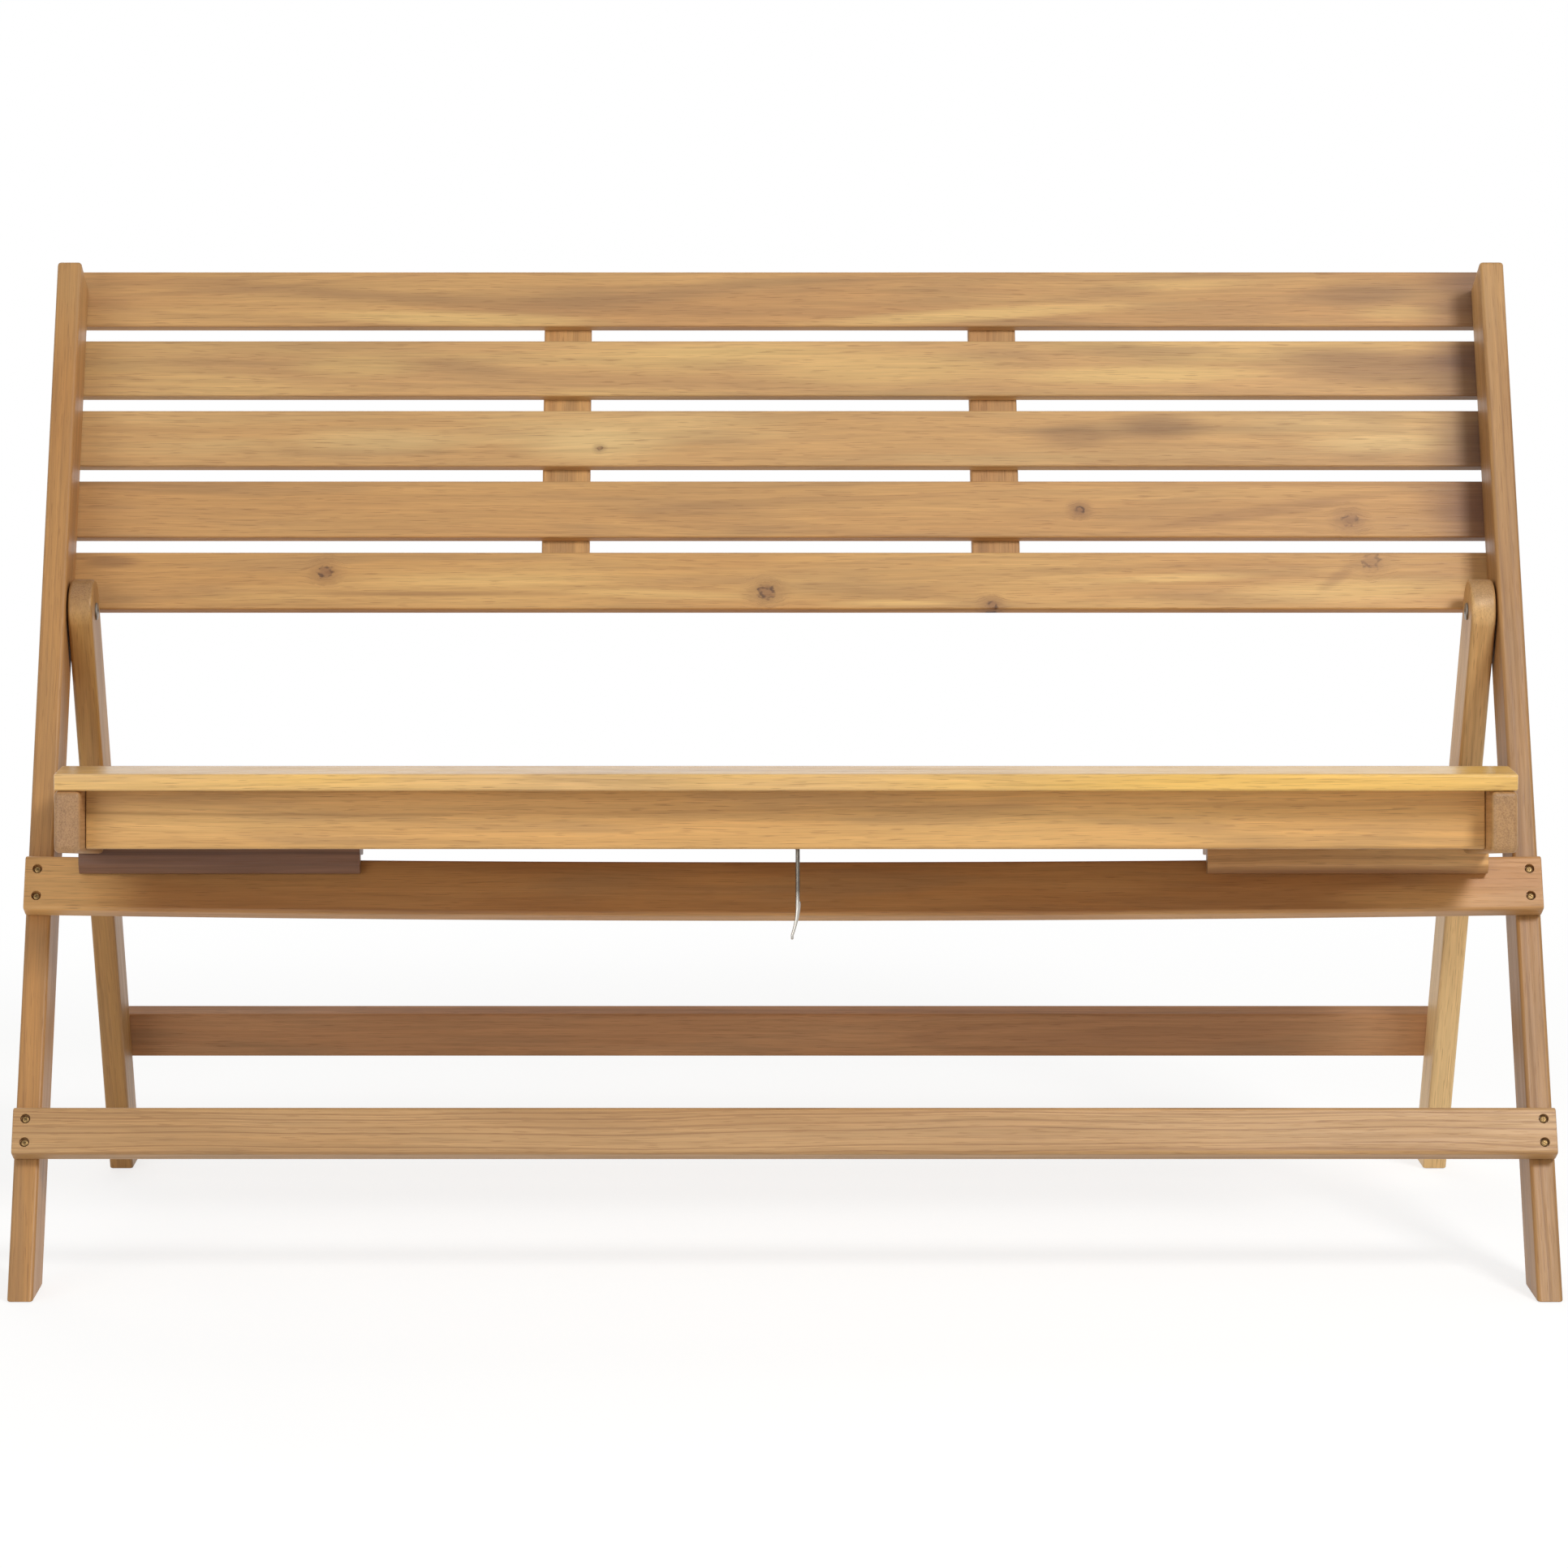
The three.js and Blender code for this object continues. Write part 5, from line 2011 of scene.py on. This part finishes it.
@dataclass(frozen=True)
class Studio:
    """A pale floor, soft lamps, a white world and the camera.

    Places are in metres, angles in degrees and the lens in millimetres. The floor lies a little
    below the feet. Its glow is mixed into its paint near the bench, and it fades to plain white
    between the two distances.
    """

    camera_at: Point3 = (-0.049, -4.2524, 0.931)
    pitch: float = -7.56
    lens: float = 121.12
    shift: float = 0.0399
    far_clip: float = 200.0
    floor_half: float = 40.0
    floor_drop: float = 0.0005
    floor_tone: str = "#ECECEA"
    glow: float = 1.25
    glow_share: float = 0.6
    fade: Point = (0.9, 1.9)
    world_level: float = 0.36
    lamps: tuple[Lamp, ...] = (
        Lamp("key", (1.5, -2.4, 2.4), (0, 0, 0.4), (0.7, 0.7), 56.0),
        Lamp("fill", (-2.3, -3.5, 1.2), (0, 0, 0.4), (2.2, 1.4), 35.0),
        Lamp("back", (-0.8, 3.0, 2.4), (0, 0, 0.4), (2.4, 1.6), 28.0),
    )

    def build(self) -> None:
        """Sets up everything round the bench."""
        self.camera()
        self.floor()
        self.world()
        for lamp in self.lamps:
            self.lamp(lamp)
        bpy.context.scene.view_settings.view_transform = "Standard"

    def camera(self) -> None:
        """The camera, a little left of the middle and above the backrest."""
        data = bpy.data.cameras.new("camera")
        data.lens = self.lens
        data.shift_x = self.shift
        data.clip_end = self.far_clip
        camera = bpy.data.objects.new("camera", data)
        camera.location = self.camera_at
        camera.rotation_euler = (math.radians(90 + self.pitch), 0, 0)
        bpy.context.scene.collection.objects.link(camera)
        bpy.context.scene.camera = camera

    def lamp(self, lamp: Lamp) -> None:
        """Sets up one soft lamp.

        Args:
            lamp: the lamp.
        """
        data = bpy.data.lights.new(lamp.name, "AREA")
        data.shape = "RECTANGLE"
        data.size, data.size_y = lamp.size
        data.energy = lamp.watts
        piece = bpy.data.objects.new(lamp.name, data)
        piece.location = lamp.at
        aim = Vector(lamp.target) - Vector(lamp.at)
        piece.rotation_euler = aim.to_track_quat("-Z", "Y").to_euler()
        bpy.context.scene.collection.objects.link(piece)

    def floor(self) -> None:
        """A matt white floor that shows the shadow and is white to the eye further out."""
        shape = bmesh.new()
        bmesh.ops.create_grid(shape, x_segments=1, y_segments=1, size=self.floor_half / MM)
        floor = to_object("studio_floor", shape, Matrix.Translation((0, 0, -self.floor_drop)))
        # Matt paint under a bright lamp: a soft grey shadow by the feet, and no edge further out
        material, tree = new_material("matt_white_floor")
        paint = add_node(tree, "ShaderNodeBsdfDiffuse", {"Color": linear(self.floor_tone)})
        white = add_node(tree, "ShaderNodeEmission", {"Color": WHITE, "Strength": 1.0})
        bright = add_node(tree, "ShaderNodeEmission", {"Color": WHITE, "Strength": self.glow})
        near = add_node(tree, "ShaderNodeMixShader", {0: self.glow_share, 1: paint, 2: bright})
        place = add_node(tree, "ShaderNodeTexCoord", output="Object")
        away = add_node(tree, "ShaderNodeVectorMath", {0: place}, NUMBER, operation="LENGTH")
        start, end = self.fade
        far = add_node(tree, "ShaderNodeMapRange",
                       {"Value": away, "From Min": start, "From Max": end},
                       interpolation_type="SMOOTHSTEP")
        seen = add_node(tree, "ShaderNodeMixShader", {0: far, 1: near, 2: white})
        shown = self.shown_rays(tree)
        mixed = add_node(tree, "ShaderNodeMixShader", {0: shown, 1: paint, 2: seen})
        add_node(tree, "ShaderNodeOutputMaterial", {"Surface": mixed})
        floor.data.materials.append(material)

    def shown_rays(self, tree: Tree) -> Socket:
        """Tells the rays that show a surface to the eye from those that light it.

        Args:
            tree: the material's or world's node tree.

        Returns:
            One for a ray from the camera, a gloss or a clear body, else zero.
        """
        rays = tree.nodes.new("ShaderNodeLightPath")
        some = add_node(tree, "ShaderNodeMath",
                        {0: rays.outputs["Is Camera Ray"], 1: rays.outputs["Is Glossy Ray"]},
                        operation="MAXIMUM")
        return add_node(tree, "ShaderNodeMath", {0: some, 1: rays.outputs["Is Transmission Ray"]},
                        operation="MAXIMUM")

    def world(self) -> None:
        """A white world to the eye, at a softer level as a light."""
        world = bpy.data.worlds.new("studio_air")
        bpy.context.scene.world = world
        world.use_nodes = True
        tree = world.node_tree
        tree.nodes.clear()
        level = add_node(tree, "ShaderNodeMapRange",
                         {"Value": self.shown_rays(tree), "To Min": self.world_level,
                          "To Max": 1.0})
        air = add_node(tree, "ShaderNodeBackground", {"Color": WHITE, "Strength": level})
        add_node(tree, "ShaderNodeOutputWorld", {"Surface": air})


def joint_spot(name: str) -> Vector:
    """A joint's place at rest, in millimetres."""
    joint = next(j for j in frame["joints"] if j["name"] == name)
    return Vector(joint["pos_m"]) / MM


# How far the posts, the rear legs and the seat lean back, in degrees
POST_LEAN, LEG_LEAN, SEAT_LEAN = -28.1, 24.9, -8.5


def post_axes(pivot: Vector) -> SubFrame:
    """The posts' leaning axes, which bring their pivot hole to the joint.

    Args:
        pivot: the joint's place, in millimetres.

    Returns:
        The axes, from the foot of the posts' front faces.
    """
    back, up = PostFrame.pivot
    lean = math.radians(POST_LEAN)
    return SubFrame(pivot.y - (back * math.cos(lean) - up * math.sin(lean)),
                    pivot.z - (back * math.sin(lean) + up * math.cos(lean)), POST_LEAN)


def main() -> None:
    """Builds the bench and its studio."""
    logging.basicConfig(level=logging.INFO, format="%(name)s: %(message)s")
    leg_pivot, seat_pivot = joint_spot("leg_fold"), joint_spot("seat_fold")
    leg_axes = SubFrame(leg_pivot.y, leg_pivot.z, LEG_LEAN)
    seat_axes = SubFrame(seat_pivot.y, seat_pivot.z, SEAT_LEAN)
    screws, small_screws = ScrewBox(RAIL_SCREW), ScrewBox(SLAT_SCREW)
    pivots, lock = PivotSet(), Lock(seat_axes)
    PostFrame(post_axes(leg_pivot), screws, small_screws).build()
    RearLegFrame(leg_axes, screws, pivots, (seat_pivot - leg_pivot).length).build()
    Seat(seat_axes, pivots, lock).build()
    lock.build()
    Studio().build()


if __name__ == "__main__":
    main()
